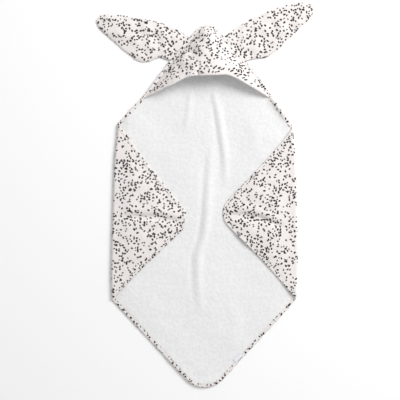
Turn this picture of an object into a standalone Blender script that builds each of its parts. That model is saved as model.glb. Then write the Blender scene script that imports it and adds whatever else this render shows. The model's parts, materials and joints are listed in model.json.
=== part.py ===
"""Hooded baby towel with two long ears, lying on its back with both side corners folded in.

The towel is a square of two cloth layers, a printed outside and a terry inside, bound round its
edge with a folded tape. A domed hood is sewn over the top corner, and an ear stands out of the
seam on each side of it. The square is drawn flat as a diamond, with its corners on X and Y.

Units are metres, +Z is up and the towel lies on Z = 0. The origin is the centre of the square.
The hood points to +Y. Each moving group hangs from an empty on the line that it turns about.
"""

import math

import bmesh
import bpy
from mathutils import Matrix, Vector

# The square and its two fold lines
SIDE = 0.800  # finished side of the towel
CORNER_RADIUS = 0.075  # left, right and bottom corners
HOOD_CORNER_RADIUS = 0.040  # top corner, under the hood
LEFT_TIP_GAP = 0.031  # from the middle line of the towel to the tip of each folded side corner
RIGHT_TIP_GAP = 0.027
LEFT_FOLD_SLANT = math.radians(1.8)  # how far each fold line leans in towards the hood
RIGHT_FOLD_SLANT = math.radians(1.5)

# Cloth thicknesses
PRINT = 0.0007
TERRY = 0.0032
TAPE = 0.0007
THREAD = 0.0004
GAP = 0.0003  # between cloths that touch

# Edge tape, its stitching and the label
TAPE_WIDTH = 0.010
STITCH_INSET = 0.0082  # from the towel's edge to the middle of the stitching
THREAD_WIDTH = 0.0008
LABEL_LENGTH = 0.030
LABEL_WIDTH = 0.013
LABEL_LAYER = 0.0003
LABEL_PLACE = 0.138  # from the bottom corner to the label's middle, along the lower right edge

# Hood
HOOD_RISE = 0.052  # height of the dome above its rim
HOOD_SHOULDER = 0.058  # distance from the rim over which the dome rises
HOOD_DEPTH = 0.148  # from the towel's top corner to the middle of the hood's front edge
HOOD_FRONT_DROP = 0.073  # how far the front edge falls back at its two ends
HOOD_PEAK_ROUND = 0.017  # roundness of the hood's rim at the peak
HOOD_SPANS = 28
HOOD_ROWS = 9
FACING_WIDTH = 0.008  # turned-in strip behind the hood's front edge
HEM_STITCH_INSET = 0.006

# Ears
EAR_LENGTH = 0.268  # from the middle of the root to the tip
EAR_ROOT_OFFSET = 0.105  # from the top corner to the middle of the root, along the seam
# Half the ear's width at shares of its length; an ellipse closes the tip after the last one.
EAR_HALF_WIDTHS = ((0.0, 0.039), (0.15, 0.053), (0.31, 0.060), (0.47, 0.060), (0.64, 0.050), (0.88, 0.029))
LEFT_EAR_LIFT = math.radians(19.0)  # angle of each ear above the X axis
RIGHT_EAR_LIFT = math.radians(28.0)
EAR_FILLING = 0.0030
EAR_FILLING_INSET = 0.004
EAR_ROOT_GAP = 0.0006  # between the ear and the outer wall of the tape
EAR_ROOT_CLIP = 0.002  # how much of the ear's curved outline is squared off next to its root
EAR_SEAM_INSET = 0.005

ARC_STEPS = 12
EAR_SIDE_STEPS = 14
EAR_TIP_STEPS = 8
HALF_DIAGONAL = SIDE / math.sqrt(2)
QUARTER = math.pi / 4

# Heights in the stack of layers, from the floor up
TERRY_BASE = PRINT + GAP
TERRY_TOP = TERRY_BASE + TERRY
TAPE_TOP = TERRY_TOP + GAP + TAPE
THREAD_BASE = TAPE_TOP + GAP
THREAD_TOP = THREAD_BASE + THREAD
FOLD_HEIGHT = THREAD_TOP + GAP  # the line that a folded side turns about
HOOD_BASE = TERRY_TOP + GAP
EAR_TURN_HEIGHT = TAPE_TOP + GAP

# Colour and roughness of each kind of cloth
FINISHES = {
    "print": (0.87, 0.84, 0.82, 0.85),
    "terry": (0.90, 0.90, 0.89, 0.95),
    "thread": (0.92, 0.91, 0.88, 0.70),
    "label": (0.93, 0.93, 0.96, 0.60),
}


def clear_scene():
    for old in list(bpy.data.objects):
        bpy.data.objects.remove(old)


def cloth_material(node, finish):
    """The node's own Principled material, in one of the four finishes."""
    material = bpy.data.materials.new(f"{node}_{finish}")
    material.use_nodes = True
    shader = material.node_tree.nodes["Principled BSDF"]
    red, green, blue, roughness = FINISHES[finish]
    shader.inputs["Base Color"].default_value = (red, green, blue, 1.0)
    shader.inputs["Roughness"].default_value = roughness
    shader.inputs["Metallic"].default_value = 0.0
    return material


def add_object(name, bm, finish, parent=None):
    """Turns a bmesh into a named object. With a parent, the mesh is read in the parent's frame."""
    bmesh.ops.recalc_face_normals(bm, faces=bm.faces)
    mesh = bpy.data.meshes.new(name)
    bm.to_mesh(mesh)
    bm.free()
    mesh.materials.append(cloth_material(name, finish))
    made = bpy.data.objects.new(name, mesh)
    bpy.context.scene.collection.objects.link(made)
    made.parent = parent
    return made


def turning_line(name, point, along):
    """An empty on a line of turning, with its Y axis along the line and its Z axis up."""
    forward = Vector(along).normalized()
    side = forward.cross(Vector((0, 0, 1)))
    empty = bpy.data.objects.new(name, None)
    turn = Matrix((side, forward, (0, 0, 1))).transposed()
    empty.matrix_world = Matrix.Translation(point) @ turn.to_4x4()
    bpy.context.scene.collection.objects.link(empty)
    return empty


def hang_on(empty, name, bm, finish, turned_over=False):
    """Adds an object drawn in world coordinates as a child of an empty.

    With turned_over, it is turned half a turn about the empty's line first.
    """
    bmesh.ops.transform(bm, matrix=empty.matrix_world.inverted(), verts=bm.verts)
    if turned_over:
        bmesh.ops.rotate(bm, matrix=Matrix.Rotation(math.pi, 3, "Y"), verts=bm.verts)
    add_object(name, bm, finish, empty)


def slab(outline, low, high):
    """A flat piece: an outline in XY, extruded from one height to another."""
    bm = bmesh.new()
    bottom = [bm.verts.new((x, y, low)) for x, y in outline]
    face = bm.faces.new(bottom)
    grown = bmesh.ops.extrude_face_region(bm, geom=[face])
    top = [v for v in grown["geom"] if isinstance(v, bmesh.types.BMVert)]
    bmesh.ops.translate(bm, verts=top, vec=(0, 0, high - low))
    return bm


def swept(rails):
    """A closed section carried along a path: each rail is one corner of the section, point by point."""
    bm = bmesh.new()
    rows = [[bm.verts.new(p) for p in rail] for rail in rails]
    for row, following in zip(rows, rows[1:] + rows[:1]):
        for k in range(len(row) - 1):
            bm.faces.new((row[k], row[k + 1], following[k + 1], following[k]))
    bm.faces.new([row[0] for row in rows])
    bm.faces.new([row[-1] for row in reversed(rows)])
    return bm


class FoldLine:
    """A straight fold on one side: its crossing of the X axis, its direction and its outward side."""

    def __init__(self, tip_gap, slant, side):
        self.side = side
        self.along = Vector((-side * math.sin(slant), math.cos(slant)))
        self.outward = Vector((side * math.cos(slant), math.sin(slant)))
        # The fold lies half-way between the corner's rounded tip and the place where the tip lands.
        corner_tip = HALF_DIAGONAL - CORNER_RADIUS * (math.sqrt(2) - 1)
        self.crossing = Vector((side * (corner_tip + tip_gap) / 2, 0.0))

    def meet(self, upper, inset, clearance):
        """Where the line, moved out by clearance, meets the inset upper or lower edge on its side."""
        reach = HALF_DIAGONAL - inset * math.sqrt(2)
        start = self.crossing + self.outward * clearance
        rise = 1.0 if upper else -1.0
        # On the edge, side * x + rise * y = reach.
        travel = (reach - self.side * start.x - rise * start.y) / (
            self.side * self.along.x + rise * self.along.y
        )
        return start + self.along * travel


LEFT_FOLD = FoldLine(LEFT_TIP_GAP, LEFT_FOLD_SLANT, -1)
RIGHT_FOLD = FoldLine(RIGHT_TIP_GAP, RIGHT_FOLD_SLANT, 1)


def corner_arc(middle_angle, radius, inset):
    """The rounded corner of the square that faces middle_angle, run through anticlockwise."""
    outward = Vector((math.cos(middle_angle), math.sin(middle_angle)))
    centre = (HALF_DIAGONAL - radius * math.sqrt(2)) * outward
    turned = [middle_angle - QUARTER + 2 * QUARTER * k / ARC_STEPS for k in range(ARC_STEPS + 1)]
    return [centre + (radius - inset) * Vector((math.cos(a), math.sin(a))) for a in turned]


def top_edge(inset):
    """The towel's edge from the right fold, round the top corner, to the left fold."""
    arc = corner_arc(math.pi / 2, HOOD_CORNER_RADIUS, inset)
    return [RIGHT_FOLD.meet(True, inset, -GAP), *arc, LEFT_FOLD.meet(True, inset, -GAP)]


def bottom_edge(inset):
    """The towel's edge from the left fold, round the bottom corner, to the right fold."""
    arc = corner_arc(-math.pi / 2, CORNER_RADIUS, inset)
    return [LEFT_FOLD.meet(False, inset, -GAP), *arc, RIGHT_FOLD.meet(False, inset, -GAP)]


def left_edge(inset):
    """The left corner's edge, opened flat, from the top of the fold to its bottom."""
    arc = corner_arc(math.pi, CORNER_RADIUS, inset)
    return [LEFT_FOLD.meet(True, inset, GAP), *arc, LEFT_FOLD.meet(False, inset, GAP)]


def right_edge(inset):
    """The right corner's edge, opened flat, from the bottom of the fold to its top."""
    arc = corner_arc(0.0, CORNER_RADIUS, inset)
    return [RIGHT_FOLD.meet(False, inset, GAP), *arc, RIGHT_FOLD.meet(True, inset, GAP)]


def tape_rails(edge):
    """The C-shaped section of the tape that wraps a towel edge, as rails at insets and heights."""
    section = (
        (0.0, 0.0),
        (0.0, TAPE_TOP),
        (TAPE_WIDTH, TAPE_TOP),
        (TAPE_WIDTH, TAPE_TOP - TAPE),
        (TAPE, TAPE_TOP - TAPE),
        (TAPE, TAPE),
        (TAPE_WIDTH, TAPE),
        (TAPE_WIDTH, 0.0),
    )
    return [[(p.x, p.y, z) for p in edge(inset)] for inset, z in section]


def thread_rails(edge):
    """The stitching that holds the tape, as one thin band that follows the edge."""
    near, far = STITCH_INSET - THREAD_WIDTH / 2, STITCH_INSET + THREAD_WIDTH / 2
    section = ((near, THREAD_BASE), (near, THREAD_TOP), (far, THREAD_TOP), (far, THREAD_BASE))
    return [[(p.x, p.y, z) for p in edge(inset)] for inset, z in section]


def layer_outlines(edges):
    """The outlines of a terry layer, held inside the tape, and of a print layer, which meets it."""
    terry = [p for edge in edges for p in edge(TAPE + GAP)]
    printed = [p for edge in edges for p in edge(TAPE_WIDTH + GAP)]
    return terry, printed


def make_back():
    """The part of the towel that stays flat: two layers, the tapes and their stitching."""
    terry, printed = layer_outlines((top_edge, bottom_edge))
    add_object("back_print_panel", slab(printed, 0.0, PRINT), "print")
    add_object("back_terry_panel", slab(terry, TERRY_BASE, TERRY_TOP), "terry")
    for where, edge in (("top", top_edge), ("bottom", bottom_edge)):
        add_object(f"{where}_edge_binding", swept(tape_rails(edge)), "print")
        add_object(f"{where}_binding_stitching", swept(thread_rails(edge)), "thread")


def make_label():
    """A blank woven label, folded double and sewn along the tape on the lower right edge."""
    bottom_corner = Vector((0.0, -HALF_DIAGONAL))
    along = Vector((1.0, 1.0)).normalized()
    inward = Vector((-1.0, 1.0)).normalized()
    middle = bottom_corner + along * LABEL_PLACE + inward * (TAPE_WIDTH + GAP + LABEL_WIDTH / 2)
    half_long, half_wide = along * LABEL_LENGTH / 2, inward * LABEL_WIDTH / 2
    corners = [middle - half_long - half_wide, middle + half_long - half_wide]
    corners += [middle + half_long + half_wide, middle - half_long + half_wide]
    low = TERRY_TOP + GAP
    add_object("woven_label", slab(corners, low, low + 2 * LABEL_LAYER), "label")


def make_flap(name, fold, edge):
    """A side corner, built opened flat and then turned half round its fold line onto the back."""
    hinge = turning_line(f"{name}_fold_line", (*fold.crossing, FOLD_HEIGHT), (*fold.along, 0.0))
    terry, printed = layer_outlines((edge,))
    pieces = (
        (f"{name}_print_panel", slab(printed, 0.0, PRINT), "print"),
        (f"{name}_terry_panel", slab(terry, TERRY_BASE, TERRY_TOP), "terry"),
        (f"{name}_edge_binding", swept(tape_rails(edge)), "print"),
        (f"{name}_binding_stitching", swept(thread_rails(edge)), "thread"),
    )
    for piece_name, bm, finish in pieces:
        hang_on(hinge, piece_name, bm, finish, turned_over=True)


HOOD_REACH = HALF_DIAGONAL - (TAPE_WIDTH + GAP) * math.sqrt(2)
HOOD_FRONT_Y = HALF_DIAGONAL - HOOD_DEPTH
HOOD_END_X = HOOD_REACH - (HOOD_FRONT_Y - HOOD_FRONT_DROP)


def hood_rim_y(x):
    """The hood's sewn rim: two straight seams that meet in a rounded peak (a log-cosh curve)."""
    return HOOD_REACH - HOOD_PEAK_ROUND * math.log(2 * math.cosh(x / HOOD_PEAK_ROUND))


def hood_front_y(x):
    """The hood's front edge in plan: an arch, highest in the middle."""
    return HOOD_FRONT_Y - HOOD_FRONT_DROP * (x / HOOD_END_X) ** 2


def hood_height(x, y):
    """Height of the dome above its rim: a quarter sine over the shoulder, then level."""
    from_rim = (hood_rim_y(x) - y) / math.sqrt(2)
    return HOOD_RISE * math.sin(math.pi / 2 * min(max(from_rim, 0.0) / HOOD_SHOULDER, 1.0))


def hood_rows(depth):
    """Distances behind the front edge at which the hood's rows lie, for a span of the given depth.

    Rows 1 and 2 bound the stitching and row 3 is the back of the facing. All three draw together
    where the hood is shallow, at its two ends.
    """
    narrowing = min(1.0, 0.5 * depth / FACING_WIDTH)
    near, far = HEM_STITCH_INSET - THREAD_WIDTH / 2, HEM_STITCH_INSET + THREAD_WIDTH / 2
    front = [0.0, near * narrowing, far * narrowing, FACING_WIDTH * narrowing]
    return front + [front[3] + (depth - front[3]) * j / HOOD_ROWS for j in range(1, HOOD_ROWS + 1)]


def hood_grid():
    """Plan points of the dome, one span for each x, from the front edge back to the rim."""
    grid = []
    for i in range(HOOD_SPANS + 1):
        # The cosine crowds the spans towards the two narrow ends.
        x = -HOOD_END_X * 0.995 * math.cos(math.pi * i / HOOD_SPANS)
        front = hood_front_y(x)
        grid.append([(x, front + back) for back in hood_rows(hood_rim_y(x) - front)])
    return grid


def dome_shell(grid, low, high):
    """A shell over the plan grid, between two heights above the dome's inner face."""
    bm = bmesh.new()
    layers = [
        [[bm.verts.new((x, y, base + hood_height(x, y))) for x, y in span] for span in grid]
        for base in (low, high)
    ]
    spans, rows = len(grid), len(grid[0])
    for layer in layers:
        for i in range(spans - 1):
            for j in range(rows - 1):
                bm.faces.new((layer[i][j], layer[i + 1][j], layer[i + 1][j + 1], layer[i][j + 1]))
    ring = [(i, 0) for i in range(spans)] + [(spans - 1, j) for j in range(1, rows)]
    ring += [(i, rows - 1) for i in range(spans - 2, -1, -1)] + [(0, j) for j in range(rows - 2, 0, -1)]
    lower, upper = layers
    for (i, j), (k, m) in zip(ring, ring[1:] + ring[:1]):
        bm.faces.new((lower[i][j], lower[k][m], upper[k][m], upper[i][j]))
    return bm


def make_hood():
    """Lining, printed shell, turned-in facing and hem stitching of the hood."""
    peak = Vector((0.0, hood_rim_y(0.0), EAR_TURN_HEIGHT))
    hinge = turning_line("hood_lift_line", peak, (-1.0, 0.0, 0.0))
    grid = hood_grid()
    lining_low = HOOD_BASE + TAPE + GAP
    shell_low = lining_low + TERRY + GAP
    thread_low = shell_low + PRINT + GAP
    pieces = (
        ("hood_terry_lining", 0, len(grid[0]), lining_low, TERRY, "terry"),
        ("hood_print_shell", 0, len(grid[0]), shell_low, PRINT, "print"),
        ("hood_front_facing", 0, 4, HOOD_BASE, TAPE, "print"),
        ("hood_hem_stitching", 1, 3, thread_low, THREAD, "thread"),
    )
    for name, first, last, low, thickness, finish in pieces:
        bm = dome_shell([span[first:last] for span in grid], low, low + thickness)
        hang_on(hinge, name, bm, finish)


def smooth_between(pairs, at):
    """A smooth curve through (place, value) pairs, with level ends (Catmull-Rom)."""
    last = len(pairs) - 1
    k = max(i for i in range(last) if pairs[i][0] <= at or i == 0)
    (x0, y0), (x1, y1) = pairs[k], pairs[k + 1]

    def slope(i):
        before, after = pairs[max(i - 1, 0)], pairs[min(i + 1, last)]
        return (after[1] - before[1]) / (after[0] - before[0])

    t, width = (at - x0) / (x1 - x0), x1 - x0
    return (
        y0 * (1 + 2 * t) * (1 - t) ** 2
        + y1 * t * t * (3 - 2 * t)
        + slope(k) * width * t * (1 - t) ** 2
        + slope(k + 1) * width * t * t * (t - 1)
    )


class Ear:
    """One long ear: its root on a seam of the hood, its direction and its outline in plan."""

    def __init__(self, side, lift):
        self.side = side
        self.seam = Vector((-side, 1.0)).normalized()  # up the seam, towards the peak
        self.outward = Vector((side, 1.0)).normalized()
        self.root = Vector((0.0, HALF_DIAGONAL)) - self.seam * EAR_ROOT_OFFSET
        self.axis = Vector((side * math.cos(lift), math.sin(lift)))
        self.across = Vector((-self.axis.y, self.axis.x)) * side  # towards the ear's upper side

    def place(self, along, across):
        return self.root + self.axis * along + self.across * across

    def side_line(self, sign, inset):
        """One long side of the ear from its root to the start of the rounded tip."""
        stations = [place * EAR_LENGTH for place, _ in EAR_HALF_WIDTHS]
        line = []
        for k in range(EAR_SIDE_STEPS + 1):
            at = stations[-1] * k / EAR_SIDE_STEPS
            half = smooth_between(EAR_HALF_WIDTHS, at / EAR_LENGTH) - inset
            line.append(self.place(at, sign * half))
        return line

    def outline(self, inset):
        """The ear in plan, cut off along the seam, with its edge drawn in by inset."""
        upper, lower = self.side_line(1, inset), self.side_line(-1, inset)
        tip = []
        last_place, last_half = EAR_HALF_WIDTHS[-1]
        reach = EAR_LENGTH * (1 - last_place) - inset
        for k in range(1, EAR_TIP_STEPS):
            angle = math.pi * k / EAR_TIP_STEPS
            tip.append(self.place(
                EAR_LENGTH * last_place + reach * math.sin(angle), (last_half - inset) * math.cos(angle)
            ))
        whole = upper + tip + lower[::-1]
        nearest = EAR_ROOT_GAP + inset + EAR_ROOT_CLIP
        clear = [p for p in whole if (p - self.root).dot(self.outward) > nearest]
        return [self.on_seam(clear[0], inset), *clear, self.on_seam(clear[-1], inset)]

    def on_seam(self, point, inset):
        """The corner of the ear's root next to the given point of its outline."""
        along = (point - self.root).dot(self.seam)
        narrowing = math.copysign(EAR_ROOT_CLIP, along)
        return self.root + self.seam * (along - narrowing) + self.outward * (EAR_ROOT_GAP + inset)


def make_ear(name, side, lift):
    """Front and back panels with a filling between them, and the ear's edge stitching."""
    ear = Ear(side, lift)
    hinge_point = (*(ear.root + ear.outward * EAR_ROOT_GAP / 2), EAR_TURN_HEIGHT)
    hinge = turning_line(f"{name}_root_line", hinge_point, (*ear.seam, 0.0))
    filling_low = PRINT + GAP
    front_low = filling_low + EAR_FILLING + GAP
    rim = ear.outline(EAR_SEAM_INSET - THREAD_WIDTH / 2)
    inner = ear.outline(EAR_SEAM_INSET + THREAD_WIDTH / 2)
    thread_low = front_low + PRINT + GAP / 2
    heights = (thread_low, thread_low + THREAD)
    corners = ((rim, heights[0]), (rim, heights[1]), (inner, heights[1]), (inner, heights[0]))
    rails = [[(p.x, p.y, z) for p in line[1:-1]] for line, z in corners]
    filling = slab(ear.outline(EAR_FILLING_INSET), filling_low, filling_low + EAR_FILLING)
    pieces = (
        (f"{name}_back_panel", slab(ear.outline(0.0), 0.0, PRINT), "print"),
        (f"{name}_filling", filling, "terry"),
        (f"{name}_front_panel", slab(ear.outline(0.0), front_low, front_low + PRINT), "print"),
        (f"{name}_edge_stitching", swept(rails), "thread"),
    )
    for piece_name, bm, finish in pieces:
        hang_on(hinge, piece_name, bm, finish)


def main():
    clear_scene()
    make_back()
    make_label()
    make_flap("left_flap", LEFT_FOLD, left_edge)
    make_flap("right_flap", RIGHT_FOLD, right_edge)
    make_hood()
    make_ear("left_ear", -1, LEFT_EAR_LIFT)
    make_ear("right_ear", 1, RIGHT_EAR_LIFT)


main()
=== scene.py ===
"""Looks of a hooded baby towel: printed cotton outside, terry inside, a domed hood and two long ears.

The towel lies on its printed side with both side corners folded in over the front. Every cloth is a
middle surface, worked out over the flat towel, with its layers stood off it along the normal. Units
are metres, +Z is up and the hood points to +Y.
"""

import json
import logging
import math
from dataclasses import dataclass, field
from enum import Enum
from typing import Callable, ClassVar, Optional, Sequence

import bmesh
import bpy
import numpy as np
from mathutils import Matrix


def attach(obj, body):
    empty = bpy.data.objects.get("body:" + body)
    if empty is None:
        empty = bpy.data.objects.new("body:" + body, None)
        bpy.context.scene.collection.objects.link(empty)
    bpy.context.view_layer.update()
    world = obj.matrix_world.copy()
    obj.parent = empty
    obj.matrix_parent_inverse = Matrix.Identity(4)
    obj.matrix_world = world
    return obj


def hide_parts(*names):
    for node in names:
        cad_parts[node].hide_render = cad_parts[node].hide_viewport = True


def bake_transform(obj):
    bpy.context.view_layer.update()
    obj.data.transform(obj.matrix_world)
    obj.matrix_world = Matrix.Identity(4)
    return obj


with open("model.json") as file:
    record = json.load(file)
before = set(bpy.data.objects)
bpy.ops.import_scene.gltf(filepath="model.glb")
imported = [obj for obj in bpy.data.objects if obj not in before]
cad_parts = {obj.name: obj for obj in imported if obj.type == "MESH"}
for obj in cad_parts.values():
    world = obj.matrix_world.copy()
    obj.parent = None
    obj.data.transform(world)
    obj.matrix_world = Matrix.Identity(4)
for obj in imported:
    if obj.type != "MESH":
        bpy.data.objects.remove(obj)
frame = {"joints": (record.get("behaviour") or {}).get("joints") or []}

MM = 0.001
HOOD_LOW = 0.2  # the hood's rim is looked for only on the towel's edge above this flat Y
LOG = logging.getLogger("hooded_towel")
Array = np.ndarray


class Side(Enum):
    """The towel's left and right, as the sign of X."""

    LEFT = -1
    RIGHT = 1

    @property
    def word(self) -> str:
        """The side's name as it stands in the names of pieces."""
        return self.name.lower()


class Slot(Enum):
    """The material slots of the record."""

    PRINT = "printed_cotton"
    TERRY = "terry"
    THREAD = "thread"
    LABEL = "label"


# ---------------------------------------------------------------- shapes in the plane


def smoothstep(value: Array) -> Array:
    """Rises from 0 to 1 as value does, level at both ends: 3t^2 - 2t^3 of the clipped value."""
    t = np.clip(value, 0.0, 1.0)
    return t * t * (3.0 - 2.0 * t)


def crowded(count: int, amount: float) -> Array:
    """Shares from 0 to 1 that crowd towards both ends: q - amount * sin(2 pi q) / (2 pi)."""
    q = np.linspace(0.0, 1.0, count)
    return q - amount * np.sin(2.0 * math.pi * q) / (2.0 * math.pi)


def softened(value: Array, count: int) -> Array:
    """A running average over an odd count of neighbours, weighted by a raised cosine, its ends held."""
    weight = np.hanning(count)
    return np.convolve(np.pad(value, count // 2, mode="edge"), weight / weight.sum(), mode="valid")


def running_length(path: Array) -> Array:
    """Length along a polyline up to each of its points: the running sum of its steps, from 0."""
    step = np.linalg.norm(np.diff(path, axis=0), axis=1)
    return np.concatenate(([0.0], np.cumsum(step)))


def at_length(path: Array, length: Array, at: Array) -> Array:
    """Places on a polyline at the given lengths, straight between its points."""
    return np.stack([np.interp(at, length, column) for column in path.T], -1)


def nearest_on_path(points: Array, path: Array) -> tuple[Array, Array]:
    """Distance from each point to a polyline, and how far along it the nearest place lies.

    Each point is projected onto every segment, held to the segment's ends, and the nearest is kept.

    Args:
        points: Points in the plane, any shape ending in 2.
        path: The polyline's points, in order.

    Returns:
        Distances and lengths along the path, shaped like points without the last axis.
    """
    flat = points.reshape(-1, 2)
    start, step = path[:-1], np.diff(path, axis=0)
    length = np.linalg.norm(step, axis=1)
    before = np.concatenate(([0.0], np.cumsum(length)[:-1]))
    distance, along = np.empty(len(flat)), np.empty(len(flat))
    chunk = 6000  # points at a time, which keeps the arrays small
    for first in range(0, len(flat), chunk):
        part = flat[first:first + chunk]
        offset = part[:, None, :] - start
        share = np.clip((offset * step).sum(-1) / (length**2), 0.0, 1.0)
        squared = ((offset - share[..., None] * step) ** 2).sum(-1)
        best = squared.argmin(axis=1)
        rows = np.arange(len(part))
        distance[first:first + chunk] = np.sqrt(squared[rows, best])
        along[first:first + chunk] = before[best] + share[rows, best] * length[best]
    return distance.reshape(points.shape[:-1]), along.reshape(points.shape[:-1])


@dataclass(frozen=True)
class Waves:
    """Soft random undulation: a sum of plane waves whose directions and phases come from a seed."""

    length: float
    height: float
    seed: int
    count: int = 14

    def at(self, points: Array) -> Array:
        """Height at points of the plane, about plus or minus the wave height.

        The sum over the waves of sin(place . direction * wave number + phase), scaled so that the sum's
        spread doesn't depend on how many there are.

        Args:
            points: Points of the plane, any shape ending in 2.

        Returns:
            The heights, shaped like points without the last axis.
        """
        draw = np.random.default_rng(self.seed)
        heading = draw.uniform(0.0, 2.0 * math.pi, self.count)
        number = 2.0 * math.pi / (self.length * draw.uniform(0.7, 1.7, self.count))
        phase = draw.uniform(0.0, 2.0 * math.pi, self.count)
        turn = points[..., 0:1] * number * np.cos(heading) + points[..., 1:2] * number * np.sin(heading)
        return self.height * np.sin(turn + phase).sum(-1) * math.sqrt(2.0 / self.count)


@dataclass(frozen=True)
class Ridge:
    """A soft fold in the lying cloth: a bell-shaped section along a line, fading at both ends."""

    line: tuple[tuple[float, float], ...]
    height: float
    width: float
    fade_power: float = 0.6

    def at(self, points: Array) -> Array:
        """Height of the fold: height * exp(-(distance / width)^2), fading as a sine towards both ends.

        Args:
            points: Points of the plane, any shape ending in 2.

        Returns:
            The heights, shaped like points without the last axis.
        """
        path = np.array(self.line) * MM
        distance, along = nearest_on_path(points, path)
        total = np.linalg.norm(np.diff(path, axis=0), axis=1).sum()
        fade = np.sin(math.pi * np.clip(along / total, 0.0, 1.0)) ** self.fade_power
        return self.height * fade * np.exp(-((distance / self.width) ** 2))


@dataclass(frozen=True)
class Outline:
    """The flat towel's edge: a polygon with a fillet at each corner, run anticlockwise.

    The edges bow a little where the folds and the hood pull on them, so the square has a few
    extra, very blunt corners.
    """

    corners: tuple[tuple[float, float, float], ...] = (  # X, Y and fillet radius, in millimetres
        (0, -568, 76), (527, 9, 58), (270, 252, 400), (150, 428, 400),
        (5, 590, 40), (-110, 455, 400), (-180, 360, 400), (-525, -8, 55),
    )
    spacing: float = 3.0 * MM
    coarse_steps: int = 10  # steps in each fillet where only a distance to the edge is wanted

    def fillets(self, inset: float = 0.0, steps: int = 24) -> Array:
        """The closed edge, drawn in by inset, as the points of its fillets from the lowest one on.

        Each corner moves in along its bisector and keeps a fillet whose radius shrinks by the inset
        where the corner is convex and grows by it where it is concave.

        Args:
            inset: How far inside the edge the line runs.
            steps: Steps in each fillet's arc.

        Returns:
            The points in order, the first one repeated at the end.
        """
        corner = np.array(self.corners)[:, :2] * MM
        radius = np.array(self.corners)[:, 2] * MM
        ahead = np.roll(corner, -1, axis=0) - corner
        ahead /= np.linalg.norm(ahead, axis=1, keepdims=True)
        behind = np.roll(ahead, 1, axis=0)
        turn = np.arctan2(behind[:, 0] * ahead[:, 1] - behind[:, 1] * ahead[:, 0], (behind * ahead).sum(1))
        inward = np.stack((-ahead[:, 1], ahead[:, 0]), 1)
        before = np.roll(inward, 1, axis=0)
        moved = corner + inset * (inward + before) / (1.0 + (inward * before).sum(1, keepdims=True))
        bend = np.sign(turn)
        fillet = radius - inset * bend
        reach = fillet * np.tan(np.abs(turn) / 2.0)
        centre = moved - behind * reach[:, None] + before * (fillet * bend)[:, None]
        angle = turn[:, None] * np.linspace(0.0, 1.0, steps + 1)
        spoke = -before[:, None, :] * (fillet * bend)[:, None, None]
        turned = np.stack((
            spoke[..., 0] * np.cos(angle) - spoke[..., 1] * np.sin(angle),
            spoke[..., 0] * np.sin(angle) + spoke[..., 1] * np.cos(angle),
        ), -1)
        rough = (centre[:, None, :] + turned).reshape(-1, 2)
        lowest = rough[:, 1].argmin()
        rough = np.roll(rough, -lowest, axis=0)
        return np.vstack((rough, rough[:1]))

    def path(self, inset: float = 0.0) -> Array:
        """The closed edge, drawn in by inset, as evenly spaced points that end where they begin.

        Args:
            inset: How far inside the edge the line runs.

        Returns:
            The points in order, from the lowest one on, anticlockwise.
        """
        rough = self.fillets(inset)
        length = running_length(rough)
        even = np.linspace(0.0, length[-1], int(length[-1] / self.spacing))
        return at_length(rough, length, even)

    def sides_at(self, y: Array, inset: float) -> tuple[Array, Array]:
        """The X of the left and right edges at each height y of the flat towel.

        Args:
            y: Heights of the flat towel.
            inset: How far inside the edge both lines run.

        Returns:
            The left edge's X and the right edge's X.
        """
        path = self.path(inset)
        top = path[:, 1].argmax()
        right, left = path[:top + 1], path[top:][::-1]
        return np.interp(y, left[:, 1], left[:, 0]), np.interp(y, right[:, 1], right[:, 0])

    def depth(self, points: Array) -> Array:
        """Distance from each point to the edge."""
        return nearest_on_path(points, self.fillets(steps=self.coarse_steps))[0]


@dataclass(eq=False)
class EdgeWalk:
    """Walks along the towel's edge by length, from its lowest point, anticlockwise."""

    outline: Outline
    half_chord: float = 2.5 * MM
    path: Array = field(init=False)
    length: Array = field(init=False)
    total: float = field(init=False)

    def __post_init__(self) -> None:
        """Measures the edge once."""
        self.path = self.outline.path()
        self.length = running_length(self.path)
        self.total = self.length[-1]

    def point(self, at: Array) -> Array:
        """Points of the edge at the given lengths."""
        return at_length(self.path, self.length, np.mod(at, self.total))

    def forward(self, at: Array) -> Array:
        """Unit direction of walking, from the chord of a few millimetres either side."""
        chord = self.point(at + self.half_chord) - self.point(at - self.half_chord)
        return chord / np.linalg.norm(chord, axis=-1, keepdims=True)

    def inward(self, at: Array) -> Array:
        """Unit direction into the towel: the direction of walking turned left by a right angle."""
        ahead = self.forward(at)
        return np.stack((-ahead[..., 1], ahead[..., 0]), -1)

    def crossings(self, test: Callable[[Array], Array]) -> Array:
        """Lengths at which a function of the edge's points changes sign, found by straight lines between.

        Args:
            test: Gives a value for each point of the edge.

        Returns:
            The lengths, in the order of walking.
        """
        value = test(self.path)
        k = np.nonzero(np.sign(value[:-1]) != np.sign(value[1:]))[0]
        share = value[k] / (value[k] - value[k + 1])
        return self.length[k] + share * (self.length[k + 1] - self.length[k])


# ---------------------------------------------------------------- the towel's middle surfaces


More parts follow.
